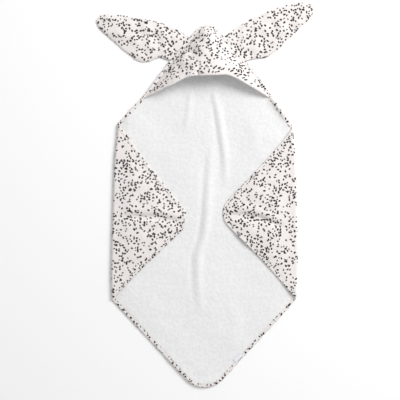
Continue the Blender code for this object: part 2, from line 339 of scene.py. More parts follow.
@dataclass(frozen=True)
class Layers:
    """How far the two cloths stand off the middle surface, in the field and under the tape."""

    half: float = 2.1 * MM
    print_thickness: float = 0.7 * MM
    gap: float = 0.3 * MM
    rim_print: float = -1.3 * MM
    rim_terry_top: float = 1.5 * MM
    rim_end: float = 9.0 * MM
    field_start: float = 14.0 * MM

    def printed(self, depth: Array) -> tuple[Array, Array]:
        """Low and high faces of the printed cloth: from its rim height to its field height, smoothly.

        Args:
            depth: Distances from the towel's edge.

        Returns:
            Heights off the middle surface of the low and the high face.
        """
        share = smoothstep((depth - self.rim_end) / (self.field_start - self.rim_end))
        low = self.rim_print + (-self.half - self.rim_print) * share
        return low, low + self.print_thickness

    def terry(self, depth: Array) -> tuple[Array, Array]:
        """Low and high faces of the terry cloth, which lies a small gap above the printed one.

        Args:
            depth: Distances from the towel's edge.

        Returns:
            Heights off the middle surface of the low and the high face.
        """
        share = smoothstep((depth - self.rim_end) / (self.field_start - self.rim_end))
        high = self.rim_terry_top + (self.half - self.rim_terry_top) * share
        return self.printed(depth)[1] + self.gap, high


class Surface:
    """A middle surface over the flat towel, with its normal on the terry side."""

    probe: ClassVar[float] = 0.4 * MM

    def middle(self, flat: Array) -> Array:
        """Place of the middle surface for points of the flat towel."""
        raise NotImplementedError

    def normal(self, flat: Array) -> Array:
        """Unit normal: the cross product of the surface's slopes along flat X and flat Y.

        Args:
            flat: Points of the flat towel, any shape ending in 2.

        Returns:
            Unit vectors, shaped like flat with 3 for its last axis.
        """
        across, up = np.array((self.probe, 0.0)), np.array((0.0, self.probe))
        along_x = self.middle(flat + across) - self.middle(flat - across)
        along_y = self.middle(flat + up) - self.middle(flat - up)
        cross = np.cross(along_x, along_y)
        return cross / np.linalg.norm(cross, axis=-1, keepdims=True)

    def lifted(self, flat: Array, *offsets: Array) -> Array:
        """The middle surface moved along its normal.

        Args:
            flat: Points of the flat towel, any shape ending in 2.
            *offsets: How far to move each point, one grid for each offset that is wanted.

        Returns:
            The moved points, or a list of such grids where more than one offset is given.
        """
        middle, normal = self.middle(flat), self.normal(flat)
        grids = [middle + normal * np.asarray(offset)[..., None] for offset in offsets]
        return grids[0] if len(grids) == 1 else grids


def joint_named(name: str) -> dict:
    """The frame's record of one joint."""
    return next(joint for joint in frame["joints"] if joint["name"] == name)


@dataclass(eq=False)
class Fold:
    """A side's fold line, taken from its joint, and the soft roll of cloth that runs along it."""

    side: Side
    pulls: tuple[tuple[float, float], ...]  # place along the fold and pull inward, in millimetres
    roll: float = 4.4 * MM  # middle radius of the roll
    lean: float = 0.08  # how far the bend between towel and flap leans inward as it climbs
    pull_points: int = 331
    pull_average: int = 41
    rounds: int = 4
    pull_at: Array = field(init=False)
    pull_by: Array = field(init=False)
    origin: Array = field(init=False)
    along: Array = field(init=False)
    outward: Array = field(init=False)
    inset: float = field(init=False)

    def __post_init__(self) -> None:
        """Smooths the pulls, reads the joint's point and axis, and points the axis to the hood."""
        table = np.array(self.pulls) * MM
        self.pull_at = np.linspace(table[0, 0], table[-1, 0], self.pull_points)
        self.pull_by = softened(np.interp(self.pull_at, table[:, 0], table[:, 1]), self.pull_average)
        joint = joint_named(f"{self.side.word}_flap_fold")
        axis = np.array(joint["axis"][:2], float)
        self.along = axis / np.linalg.norm(axis) * np.sign(axis[1])
        self.outward = self.side.value * np.array((self.along[1], -self.along[0]))
        self.origin = np.array(joint["pos_m"][:2], float)
        # The roll starts a quarter turn's length inside the joint's line, so it opens flat.
        self.inset = math.pi / 2.0 * self.roll

    def start(self, along: Array) -> Array:
        """How far inside the joint's line the roll starts: the tape draws it in near both ends."""
        return self.inset + np.interp(along, self.pull_at, self.pull_by)

    def split(self, flat: Array) -> tuple[Array, Array]:
        """Length along the fold line, and length of cloth past the start of the roll.

        Args:
            flat: Points of the flat towel, any shape ending in 2.

        Returns:
            Both lengths, shaped like flat without the last axis.
        """
        offset = flat - self.origin
        along = offset @ self.along
        return along, offset @ self.outward + self.start(along)

    def start_x(self, y: Array) -> Array:
        """The X at which the roll starts, for each flat Y, settled in a few rounds.

        Args:
            y: Heights of the flat towel.

        Returns:
            The X of the roll's start at each height.
        """
        x = np.full(np.shape(y), self.origin[0])
        for _ in range(self.rounds):
            x = x - self.split(np.stack((x, y), -1))[1] / self.outward[0]
        return x

    def bend_ends(self, low: float, lift: float) -> tuple[tuple[float, ...], tuple[float, ...]]:
        """Start and end of the bend between towel and flap, which is the upright part of the roll.

        Args:
            low: Height at which the bend starts.
            lift: How much higher it ends.

        Returns:
            The start point and the end point.
        """
        start = np.append(self.origin - self.outward * self.start(0.0), low)
        climb = np.append(-self.outward * self.lean, 1.0)
        end = start + climb * lift / (climb @ climb)
        return tuple(start), tuple(end)


@dataclass(eq=False)
class Back(Surface):
    """The part of the towel that lies flat, with the soft folds that run down its middle."""

    folds: dict[Side, Fold]
    outline: Outline
    layers: Layers = Layers()
    ridges: tuple[Ridge, ...] = (
        Ridge(((26, 368), (42, 301), (53, 225), (62, 165), (62, 80)), 5.2 * MM, 10.0 * MM),
        Ridge(((11, 366), (26, 301), (36, 225), (45, 165), (45, 110)), -2.2 * MM, 5.5 * MM),
        Ridge(((19, 205), (13, 88), (8, -3), (-1, -78), (-20, -130), (-20, -200), (-12, -310)),
              5.6 * MM, 11.0 * MM),
        Ridge(((0, 190), (-6, 88), (-12, -3), (-22, -78), (-42, -130), (-42, -200), (-34, -290)),
              -2.2 * MM, 6.0 * MM),
        Ridge(((-44, 372), (-48, 320), (-56, 255)), 2.8 * MM, 9.0 * MM),
        Ridge(((110, 330), (150, 240), (165, 150)), 1.6 * MM, 18.0 * MM),
        Ridge(((70, -260), (95, -330), (70, -410)), 1.8 * MM, 20.0 * MM),
    )
    edge_lifts: tuple[Ridge, ...] = (
        Ridge(((194, 358), (228, 318), (270, 260)), 10.5 * MM, 14.0 * MM),
        Ridge(((-198, 346), (-225, 312), (-258, 274)), 2.5 * MM, 16.0 * MM),
        Ridge(((-120, -430), (-30, -530), (60, -500)), 2.5 * MM, 18.0 * MM),
        Ridge(((170, -370), (215, -320), (262, -270)), 3.0 * MM, 16.0 * MM),
    )
    base: float = 2.2 * MM
    edge_reach: float = 60 * MM  # distance from the edge over which the ridges grow
    fold_reach: float = 30 * MM  # distance from a fold over which the relief grows
    floor_ease: float = 0.5 * MM
    swell: Waves = Waves(150 * MM, 0.7 * MM, seed=11)
    ripple: Waves = Waves(42 * MM, 0.25 * MM, seed=12, count=20)

    def relief(self, flat: Array) -> Array:
        """Height of the cloth's underside: ridges and waves, softly kept above the floor.

        The height h becomes (h + sqrt(h^2 + ease^2)) / 2, which is never below 0, and it falls to 0 along
        the folds.

        Args:
            flat: Points of the flat towel, any shape ending in 2.

        Returns:
            The heights, shaped like flat without the last axis.
        """
        off_edge = smoothstep(self.outline.depth(flat) / self.edge_reach)
        height = self.base * off_edge + self.swell.at(flat) + self.ripple.at(flat)
        height = height + sum(ridge.at(flat) for ridge in self.ridges) * off_edge
        height = height + sum(lift.at(flat) for lift in self.edge_lifts)
        height = 0.5 * (height + np.sqrt(height**2 + self.floor_ease**2))
        for fold in self.folds.values():
            height = height * smoothstep(-fold.split(flat)[1] / self.fold_reach)
        return height

    def middle(self, flat: Array) -> Array:
        """The flat towel's point, raised by the relief and half the cloth's thickness."""
        return np.concatenate((flat, (self.relief(flat) + self.layers.half)[..., None]), -1)


@dataclass(frozen=True)
class FlapLie:
    """How one folded corner lies: its drawn fold line, its bulge, its creases and its lifted edges."""

    side: Side
    pulls: tuple[tuple[float, float], ...]
    creases: tuple[Ridge, ...]
    bulge: float
    lifts: tuple[tuple[float, float, float, float], ...]  # x, y, reach and height, in millimetres
    seed: int


@dataclass(eq=False)
class Flap(Surface):
    """A folded corner: a roll along the fold line, then cloth that sinks onto the towel."""

    fold: Fold
    back: Back
    lie: FlapLie
    settle: float = 62 * MM  # length over which the cloth comes down from the roll
    rest_gap: float = 0.9 * MM
    limit: float = 11.6 * MM  # height that the bumps approach and never pass
    open_ends: tuple[float, float] = (-135 * MM, 150 * MM)  # past these along the fold it stays up
    end_ease: float = 60 * MM
    bulge_reach: float = 58 * MM
    crease_reach: float = 14 * MM
    ripple_reach: float = 30 * MM
    lift_reach: float = 22 * MM

    def bump(self, flat: Array, plan: Array) -> Array:
        """Height above the resting cloth: a broad bulge with a crease across it, and lifted edges.

        The sum h becomes limit * (1 - exp(-h / limit)), which grows like h and never passes the limit.

        Args:
            flat: Points of the flat towel, any shape ending in 2.
            plan: Where those points lie once they are folded in.

        Returns:
            The heights, shaped like flat without the last axis.
        """
        depth = self.back.outline.depth(flat)
        inner = smoothstep(depth / self.bulge_reach)
        creases = sum(crease.at(plan) for crease in self.lie.creases)
        ripple = Waves(24 * MM, 0.3 * MM, self.lie.seed + 1).at(plan)
        height = self.lie.bulge * inner
        height = height + creases * smoothstep(depth / self.crease_reach)
        height = height + Waves(64 * MM, 0.8 * MM, self.lie.seed).at(plan) * inner
        height = height + ripple * smoothstep(depth / self.ripple_reach)
        for x, y, reach, lift in self.lie.lifts:
            away = np.linalg.norm(plan - np.array((x, y)) * MM, axis=-1) / (reach * MM)
            height = height + lift * MM * np.exp(-(away**2)) * np.exp(-depth / self.lift_reach)
        return self.limit * (1.0 - np.exp(-np.maximum(height, 0.0) / self.limit))

    def middle(self, flat: Array) -> Array:
        """The roll is half a circle of cloth; past it the cloth runs back inward and settles.

        On the roll the place is radius * (sin, 1 - cos) of length / radius. Past the roll the height
        goes smoothly from the top of the roll to the resting height, plus the bump, except at the
        two ends of the fold, where the roll keeps the cloth up.

        Args:
            flat: Points of the flat towel, any shape ending in 2.

        Returns:
            Places in space, shaped like flat with 3 for its last axis.
        """
        fold, half = self.fold, self.back.layers.half
        along, past = fold.split(flat)
        turn = np.clip(past / fold.roll, 0.0, math.pi)
        beyond = np.maximum(past - math.pi * fold.roll, 0.0)
        inward = fold.start(along) - fold.roll * np.sin(turn) + beyond - np.minimum(past, 0.0)
        plan = fold.origin + along[..., None] * fold.along - inward[..., None] * fold.outward
        rolled = half + fold.roll * (1.0 - np.cos(turn))
        rest = self.back.relief(plan) + 3.0 * half + self.rest_gap + self.bump(flat, plan)
        low, high = self.open_ends
        held_up = smoothstep((along - high) / self.end_ease) + smoothstep((low - along) / self.end_ease)
        settled = smoothstep(beyond / self.settle) * (1.0 - held_up)
        height = rolled * (1.0 - settled) + rest * settled
        return np.concatenate((plan, height[..., None]), -1)


@dataclass(eq=False)
class HoodDome(Surface):
    """The hood: flat along its seams, then a quarter-sine shoulder up to a level crown."""

    outline: Outline
    rise: float = 50 * MM
    shoulder: float = 78 * MM
    shoulder_power: float = 0.9
    peak: tuple[float, float] = (7, 543)  # in millimetres, as the front edge is
    knob_height: float = 18 * MM
    knob_width: float = 28 * MM
    knob_from: float = 4 * MM  # distance from the seam at which the knob starts to rise
    knob_ease: float = 13 * MM
    wave_ease: float = 30 * MM
    seam_width: float = 8.5 * MM
    rim_height: float = 6.3 * MM
    front_points: int = 501
    front_average: int = 25
    front_edge: tuple[tuple[float, float], ...] = (
        (-250, 310), (-206, 338), (-170, 352), (-135, 367), (-104, 380), (-73, 395), (-52, 405),
        (-36, 408), (-14, 409), (36, 410), (58, 412), (68, 411), (84, 406), (113, 392), (144, 375),
        (175, 358), (206, 341), (250, 312),
    )
    dimples: tuple[Ridge, ...] = (
        Ridge(((-84, 506), (-52, 486), (-22, 470)), 4.5 * MM, 12.0 * MM),
        Ridge(((88, 506), (58, 490), (30, 478)), 4.0 * MM, 12.0 * MM),
        Ridge(((-150, 398), (-110, 420), (-70, 452)), 3.0 * MM, 14.0 * MM),
        Ridge(((-23, 380), (-22, 410), (-17, 440)), 7.0 * MM, 4.0 * MM),
    )
    swell: Waves = Waves(66 * MM, 1.5 * MM, seed=31)
    ripple: Waves = Waves(26 * MM, 0.4 * MM, seed=32)
    sides: tuple[Array, Array] = field(init=False)

    def __post_init__(self) -> None:
        """Finds the two sides of the edge that the hood is sewn along, which meet at the peak."""
        edge = self.outline.fillets(steps=self.outline.coarse_steps)
        upper = edge[edge[:, 1] > HOOD_LOW]
        middle = self.peak[0] * MM
        self.sides = (upper[upper[:, 0] >= middle], upper[upper[:, 0] <= middle])

    def front(self, x: Array) -> Array:
        """The front edge in plan: lines through its points, averaged over a few centimetres.

        Args:
            x: The X of each place.

        Returns:
            The Y of the front edge there.
        """
        table = np.array(self.front_edge) * MM
        fine = np.linspace(table[0, 0], table[-1, 0], self.front_points)
        value = softened(np.interp(fine, table[:, 0], table[:, 1]), self.front_average)
        return np.interp(x, fine, value)

    def middle(self, flat: Array) -> Array:
        """The product of a shoulder over each side's seam, with a knob at the peak, dimples and waves.

        A shoulder is the sine of a quarter turn's share, the share being the distance from the seam.
        The product keeps the crown smooth where the two shoulders meet. The knob is
        height * exp(-(distance / width)^2).

        Args:
            flat: Points of the flat towel, any shape ending in 2.

        Returns:
            Places in space, shaped like flat with 3 for its last axis.
        """
        height = np.full(flat.shape[:-1], self.rise)
        depth = np.full(flat.shape[:-1], 1.0)
        for side in self.sides:
            away = nearest_on_path(flat, side)[0]
            depth = np.minimum(depth, away)
            share = np.clip((away - self.seam_width) / self.shoulder, 0.0, 1.0)
            height = height * np.sin(math.pi / 2.0 * share) ** self.shoulder_power
        inner = smoothstep((depth - self.seam_width) / self.wave_ease)
        away = np.linalg.norm(flat - np.array(self.peak) * MM, axis=-1) / self.knob_width
        knob = self.knob_height * np.exp(-(away**2))
        height = height + knob * smoothstep((depth - self.knob_from) / self.knob_ease)
        height = height - inner * sum(dimple.at(flat) for dimple in self.dimples)
        height = height + inner * (self.swell.at(flat) + self.ripple.at(flat))
        return np.concatenate((flat, (self.rim_height + height)[..., None]), -1)


# ---------------------------------------------------------------- meshes


class Mesher:
    """Turns grids of points into closed meshes at the origin, with the flat towel as their UV map."""

    uv_name: ClassVar[str] = "flat"
    weld: ClassVar[float] = 0.004 * MM

    @classmethod
    def make(
        cls, name: str, points: Array, faces: list, corner_uv: Optional[Array], sharp: float
    ) -> bpy.types.Object:
        """Makes an object from points and faces, welded, with its faces pointing out.

        Args:
            name: The piece's name.
            points: Vertices, one row each.
            faces: Vertex indices of each face.
            corner_uv: UV of each face corner in order, or None.
            sharp: Angle in degrees above which an edge is shaded sharp.

        Returns:
            The object, linked to the scene.
        """
        mesh = bpy.data.meshes.new(name)
        mesh.from_pydata(points.tolist(), [], faces)
        if corner_uv is not None:
            layer = mesh.uv_layers.new(name=cls.uv_name)
            layer.data.foreach_set("uv", corner_uv.astype(np.float32).ravel())
        bm = bmesh.new()
        bm.from_mesh(mesh)
        bmesh.ops.remove_doubles(bm, verts=bm.verts, dist=cls.weld)
        bmesh.ops.dissolve_degenerate(bm, edges=bm.edges, dist=cls.weld)
        bmesh.ops.recalc_face_normals(bm, faces=bm.faces)
        bm.to_mesh(mesh)
        bm.free()
        mesh.shade_smooth()
        mesh.set_sharp_from_angle(angle=math.radians(sharp))
        made = bpy.data.objects.new(name, mesh)
        bpy.context.scene.collection.objects.link(made)
        return made

    @classmethod
    def slab(
        cls, name: str, top: Array, bottom: Array, uv: Array, sharp: float = 70.0
    ) -> bpy.types.Object:
        """A closed solid between two grids of the same size, joined by a wall round their rim.

        Args:
            name: The piece's name.
            top: Points of the upper face, by row and column.
            bottom: Points of the lower face, by row and column.
            uv: UV by row and column, the same for both faces.
            sharp: Angle in degrees above which an edge is shaded sharp.

        Returns:
            The object, linked to the scene.
        """
        rows, columns = top.shape[:2]
        count = rows * columns
        index = np.arange(count).reshape(rows, columns)
        upper = np.stack((index[:-1, :-1], index[:-1, 1:], index[1:, 1:], index[1:, :-1]), -1)
        upper = upper.reshape(-1, 4)
        ring = np.concatenate((index[0, :-1], index[:-1, -1], index[-1, :0:-1], index[:0:-1, 0]))
        following = np.roll(ring, -1)
        wall = np.stack((ring, ring + count, following + count, following), -1)
        faces = np.vstack((upper, upper[:, ::-1] + count, wall))
        points = np.vstack((top.reshape(-1, 3), bottom.reshape(-1, 3)))
        twice = np.vstack((uv.reshape(-1, 2),) * 2)
        return cls.make(name, points, faces.tolist(), twice[faces.ravel()], sharp)

    @classmethod
    def tube(cls, name: str, grid: Array, uv: Array, sharp: float = 60.0) -> bpy.types.Object:
        """A closed section carried along a path, with a cap at each end.

        Args:
            name: The piece's name.
            grid: Points by place on the path and place round the section.
            uv: UV by place on the path and place round the section, with one more place to close it.
            sharp: Angle in degrees above which an edge is shaded sharp.

        Returns:
            The object, linked to the scene.
        """
        rows, columns = grid.shape[:2]
        index = np.arange(rows * columns).reshape(rows, columns)
        after = np.roll(index, -1, axis=1)
        sides = np.stack((index[:-1], after[:-1], after[1:], index[1:]), -1).reshape(-1, 4)
        side_uv = np.stack((uv[:-1, :-1], uv[:-1, 1:], uv[1:, 1:], uv[1:, :-1]), -2).reshape(-1, 2)
        faces = sides.tolist() + [index[0].tolist(), index[-1, ::-1].tolist()]
        corner_uv = np.vstack((side_uv, uv[0, :-1], uv[-1, :-1][::-1]))
        return cls.make(name, grid.reshape(-1, 3), faces, corner_uv, sharp)


@dataclass(frozen=True)
class StitchLook:
    """One kind of stitch: its pitch, its visible length and its thickness."""

    pitch: float = 3.3 * MM
    length: float = 2.5 * MM
    radius: float = 0.32 * MM
    sink: float = 0.08 * MM
    flatness: float = 0.67

    def row(self, name: str, low: Array, high: Array, up: Array) -> bpy.types.Object:
        """Small lozenges of thread between pairs of points.

        Each stitch is three rings of six points and a point at each end; a ring's radius is that of a
        circle at its place along the stitch, pressed flat by a third.

        Args:
            name: The piece's name.
            low: Where each stitch starts.
            high: Where each stitch ends.
            up: Unit direction away from the cloth at each stitch.

        Returns:
            The object that holds the whole row.
        """
        along = high - low
        forward = along / np.linalg.norm(along, axis=1, keepdims=True)
        aside = np.cross(forward, up)
        place = np.array((-0.7, 0.0, 0.7))
        swell = np.sqrt(1.0 - place**2)
        angle = np.arange(6) * math.pi / 3.0
        centre = (low + high) / 2.0 + up * (self.radius * self.flatness - self.sink)
        sideways = swell[:, None] * np.cos(angle) * self.radius
        upward = swell[:, None] * np.sin(angle) * self.radius * self.flatness
        ring = (
            centre[:, None, None, :]
            + along[:, None, None, :] * (place / 2.0)[None, :, None, None]
            + aside[:, None, None, :] * sideways[None, ..., None]
            + up[:, None, None, :] * upward[None, ..., None]
        ).reshape(len(low), 18, 3)
        ends = np.stack((centre - along / 2.0, centre + along / 2.0), 1)
        points = np.concatenate((ring, ends), 1)
        k = np.arange(6)
        after = (k + 1) % 6
        quads = np.vstack([np.stack((r + k, r + after, r + 6 + after, r + 6 + k), 1) for r in (0, 6)])
        first_cap = np.stack((after, k, np.full(6, 18)), 1)
        last_cap = np.stack((12 + k, 12 + after, np.full(6, 19)), 1)
        caps = np.vstack((first_cap, last_cap))
        shift = 20 * np.arange(len(low))[:, None, None]
        faces = (quads + shift).reshape(-1, 4).tolist() + (caps + shift).reshape(-1, 3).tolist()
        return Mesher.make(name, points.reshape(-1, 3), faces, None, 60.0)


# ---------------------------------------------------------------- materials


class Graph:
    """A small builder for a material's node tree."""

    def __init__(self, name: str) -> None:
        """Starts a material with its Principled shader.

        Args:
            name: The material's name.
        """
        self.material = bpy.data.materials.new(name)
        self.material.use_nodes = True
        self.tree = self.material.node_tree
        self.shader = self.tree.nodes["Principled BSDF"]

    def cloth_place(self) -> bpy.types.NodeSocket:
        """The place on the flat cloth, from the piece's UV map."""
        return self.node("UVMap", {"uv_map": Mesher.uv_name}).outputs[0]

    def node(self, kind: str, settings: Optional[dict] = None, **inputs: object) -> bpy.types.Node:
        """Adds a node, sets its properties, and feeds each named input from a value or a socket.

        Args:
            kind: The node's type, without its leading ShaderNode.
            settings: Properties to set on the node.
            **inputs: A value or a socket for each input, by its name, or i and its number.

        Returns:
            The node.
        """
        made = self.tree.nodes.new(f"ShaderNode{kind}")
        for key, value in (settings or {}).items():
            setattr(made, key, value)
        for key, value in inputs.items():
            numbered = key[0] == "i" and key[1:].isdigit()
            self.feed(made.inputs[int(key[1:]) if numbered else key], value)
        return made

    def feed(self, socket: bpy.types.NodeSocket, value: object) -> None:
        """Links a socket to an input, or sets the input's own value.

        Args:
            socket: The input.
            value: A value or another node's output socket.
        """
        if isinstance(value, bpy.types.NodeSocket):
            self.tree.links.new(value, socket)
        else:
            socket.default_value = value

    def math(self, operation: str, *values: object) -> bpy.types.NodeSocket:
        """One Math node."""
        inputs = {f"i{k}": v for k, v in enumerate(values)}
        made = self.node("Math", {"operation": operation}, **inputs)
        return made.outputs[0]

    def vector(self, operation: str, *values: object) -> bpy.types.NodeSocket:
        """One Vector Math node; LENGTH gives a number and the others a vector."""
        inputs = {f"i{k}": v for k, v in enumerate(values)}
        made = self.node("VectorMath", {"operation": operation}, **inputs)
        return made.outputs["Value" if operation == "LENGTH" else "Vector"]

    def ramp(
        self, value: object, low: float, high: float, start: float = 0.0, end: float = 1.0
    ) -> bpy.types.NodeSocket:
        """Smooth step of a value between low and high, scaled to run from start to end.

        Args:
            value: The value or socket that is stepped.
            low: Where the step starts.
            high: Where the step ends, which may be below low.
            start: The result at low.
            end: The result at high.

        Returns:
            The stepped value's socket.
        """
        made = self.node(
            "MapRange", {"interpolation_type": "SMOOTHSTEP"},
            i0=value, i1=low, i2=high, i3=start, i4=end,
        )
        return made.outputs[0]

    def mix(self, factor: object, first: object, second: object) -> bpy.types.NodeSocket:
        """Mixes two colours."""
        made = self.node("Mix", {"data_type": "RGBA"}, i0=factor, i6=first, i7=second)
        return made.outputs[2]

    def noise(
        self, where: object, size: float, detail: float = 2.0, flat: bool = False
    ) -> bpy.types.NodeSocket:
        """Noise whose lumps are about size across, from 0 to 1.

        Args:
            where: The place's socket.
            size: Size of a lump.
            detail: How many finer layers are added.
            flat: True for noise over the plane, False for noise in space.

        Returns:
            The noise value's socket.
        """
        made = self.node("TexNoise", {"noise_dimensions": "2D" if flat else "3D"})
        self.feed(made.inputs["Vector"], where)
        made.inputs["Scale"].default_value = 1.0 / size
        made.inputs["Detail"].default_value = detail
        return made.outputs["Fac"]

    def bump(
        self, height: object, distance: float, strength: float = 1.0, after: object = None
    ) -> bpy.types.NodeSocket:
        """Bump from a height of 0 to 1 that stands for a real distance.

        Args:
            height: The height's socket.
            distance: The distance that a height of 1 stands for.
            strength: Share of the bump that is used.
            after: Normal that this bump is added to, or None.

        Returns:
            The bumped normal's socket.
        """
        made = self.node("Bump", Strength=strength, Distance=distance, Height=height)
        if after is not None:
            self.feed(made.inputs["Normal"], after)
        return made.outputs[0]

    def finish(
        self, colour: object, roughness: float, sheen: float, normal: object
    ) -> bpy.types.Material:
        """Sets the shader's colour, its constant roughness and sheen, and its normal.

        Args:
            colour: The base colour or its socket.
            roughness: Roughness all over.
            sheen: Sheen all over.
            normal: The normal's socket.

        Returns:
            The finished material.
        """
        self.feed(self.shader.inputs["Base Color"], colour)
        self.shader.inputs["Roughness"].default_value = roughness
        self.shader.inputs["Specular IOR Level"].default_value = 0.25
        self.shader.inputs["Sheen Weight"].default_value = sheen
        self.shader.inputs["Sheen Roughness"].default_value = 0.5
        self.feed(self.shader.inputs["Normal"], normal)
        return self.material


Colour = tuple[float, float, float, float]


def darker(colour: Colour, share: float) -> Colour:
    """A colour times a share, as opaque as before."""
    return tuple(share * c for c in colour[:3]) + (1.0,)


@dataclass(frozen=True)
class PrintedCotton:
    """Off-white woven cotton with a scatter of small, uneven dark specks."""

    name: str = "printed_cotton"
    ground: Colour = (0.835, 0.79, 0.77, 1.0)
    speck: Colour = (0.016, 0.011, 0.011, 1.0)
    faded_speck: Colour = (0.11, 0.09, 0.09, 1.0)
    cell: float = 8.0 * MM
    wobble_size: float = 2.6 * MM
    wobble_reach: float = 1.7 * MM
    speck_stretch: tuple[float, float, float] = (0.82, 1.25, 0.0)
    speck_radius: tuple[float, float] = (2.2 * MM, 3.65 * MM)
    speck_edge: float = 0.22 * MM
    chance: tuple[float, float] = (0.26, 0.76)  # share of cells with a speck, in thin and thick places
    cluster: float = 34 * MM
    thread: float = 0.55 * MM
    specks: bool = True

    def material(self) -> bpy.types.Material:
        """The node tree: one random cell pattern chooses the specks, and fine waves make the weave.

        Returns:
            The material.
        """
        graph = Graph(self.name)
        where = graph.cloth_place()
        shade = graph.ramp(graph.noise(where, 22 * MM, flat=True), 0.3, 0.7)
        ground = graph.mix(shade, darker(self.ground, 0.97), self.ground)
        colour = ground
        if self.specks:
            colour = graph.mix(self.mask(graph, where), ground, self.ink(graph, where))
        return graph.finish(colour, 0.82, 0.12, self.weave(graph, where))

    def cells(
        self, graph: Graph, where: bpy.types.NodeSocket
    ) -> tuple[bpy.types.NodeSocket, bpy.types.Node]:
        """Random cells, one possible speck in each, over slightly wavy coordinates.

        Args:
            graph: The material's graph.
            where: Place on the flat cloth.

        Returns:
            The wavy place's socket and the node of the cells.
        """
        flat = {"noise_dimensions": "2D"}
        wobble = graph.node("TexNoise", flat, Vector=where, Scale=1.0 / self.wobble_size, Detail=1.0)
        centred = graph.vector("SUBTRACT", wobble.outputs["Color"], (0.5, 0.5, 0.5))
        moved = graph.vector("MULTIPLY_ADD", centred, (self.wobble_reach,) * 3, where)
        kind = {"voronoi_dimensions": "2D", "feature": "F1"}
        cells = graph.node("TexVoronoi", kind, Vector=moved, Scale=1.0 / self.cell, Randomness=0.9)
        return moved, cells

    def mask(self, graph: Graph, where: bpy.types.NodeSocket) -> bpy.types.NodeSocket:
        """1 on a speck, 0 off it: an ellipse round the cell's point, where the cell draws a speck.

        Args:
            graph: The material's graph.
            where: Place on the flat cloth.

        Returns:
            The mask's socket.
        """
        moved, cells = self.cells(graph, where)
        draw = graph.node("SeparateColor", Color=cells.outputs["Color"])
        offset = graph.vector("SUBTRACT", moved, cells.outputs["Position"])
        turned = graph.node("VectorRotate", {"rotation_type": "Z_AXIS"}, Vector=offset,
                            Angle=graph.math("MULTIPLY", draw.outputs[0], 6.283))
        oval = graph.vector("MULTIPLY", turned.outputs[0], self.speck_stretch)
        radius = graph.ramp(draw.outputs[1], 0.0, 1.0, *self.speck_radius)
        over = graph.math("SUBTRACT", graph.vector("LENGTH", oval), radius)
        inside = graph.ramp(over, self.speck_edge, -self.speck_edge)
        crowd = graph.noise(cells.outputs["Position"], self.cluster, 1.0, flat=True)
        chance = graph.ramp(crowd, 0.3, 0.6, *self.chance)
        return graph.math("MULTIPLY", inside, graph.math("LESS_THAN", draw.outputs[2], chance))

    def ink(self, graph: Graph, where: bpy.types.NodeSocket) -> bpy.types.NodeSocket:
        """The speck's colour, a little faded here and there."""
        fade = graph.ramp(graph.noise(where, 9 * MM, 1.0, flat=True), 0.5, 0.8)
        return graph.mix(fade, self.speck, self.faded_speck)

    def weave(self, graph: Graph, where: bpy.types.NodeSocket) -> bpy.types.NodeSocket:
        """Normal of a plain weave, the product of two sine waves, over a soft crumple.

        Args:
            graph: The material's graph.
            where: Place on the flat cloth.

        Returns:
            The normal's socket.
        """
        parts = graph.node("SeparateXYZ", Vector=where)
        turn = 2.0 * math.pi / self.thread
        waves = [graph.math("SINE", graph.math("MULTIPLY", parts.outputs[k], turn)) for k in (0, 1)]
        crumple = graph.bump(graph.noise(where, 7 * MM, 3.0, flat=True), 0.5 * MM, 0.35)
        return graph.bump(graph.math("MULTIPLY", *waves), 0.06 * MM, 0.6, crumple)


@dataclass(frozen=True)
class Terry:
    """White looped pile: small round loops in uneven rows, with painted shade in the gaps between them."""

    name: str = "terry"
    light: Colour = (0.88, 0.88, 0.88, 1.0)
    gap: Colour = (0.72, 0.72, 0.725, 1.0)
    # painted shade: the colour painted in the gaps between the loops, where shade falls among them; the
    # pile's random mottle also darkens towards it
    loop: float = 1.7 * MM

    def material(self) -> bpy.types.Material:
        """The node tree: random cells for the loops with painted shade between them, and noise for the
        pile's lie.

        Returns:
            The material.
        """
        graph = Graph(self.name)
        where = graph.cloth_place()
        kind = {"voronoi_dimensions": "2D", "feature": "F1"}
        loops = graph.node("TexVoronoi", kind, Vector=where, Scale=1.0 / self.loop)
        # painted shade: darker towards the rim of each loop's cell, where the gaps between loops lie in
        # shade
        gap = graph.ramp(loops.outputs["Distance"], 0.35, 0.95)
        lie = graph.ramp(graph.noise(where, 11 * MM, 3.0, flat=True), 0.35, 0.65)
        tone = graph.mix(graph.math("MULTIPLY", gap, 0.55), self.light, self.gap)
        colour = graph.mix(graph.math("MULTIPLY", lie, 0.22), tone, self.gap)
        pile = graph.bump(lie, 0.7 * MM, 0.5)
        tops = graph.math("SUBTRACT", 1.0, loops.outputs["Distance"])
        return graph.finish(colour, 0.95, 0.35, graph.bump(tops, 0.9 * MM, 0.55, pile))


@dataclass(frozen=True)
class Thread:
    """Matt off-white sewing thread, twisted."""

    name: str = "thread"
    colour: Colour = (0.80, 0.765, 0.74, 1.0)

    def material(self) -> bpy.types.Material:
        """A plain colour with a fine twist in its bump.

        Returns:
            The material.
        """
        graph = Graph(self.name)
        where = graph.node("TexCoord").outputs["Object"]
        tint = graph.mix(graph.noise(where, 0.6 * MM), self.colour, darker(self.colour, 0.86))
        return graph.finish(tint, 0.6, 0.1, graph.bump(graph.noise(where, 0.25 * MM), 0.08 * MM, 0.6))


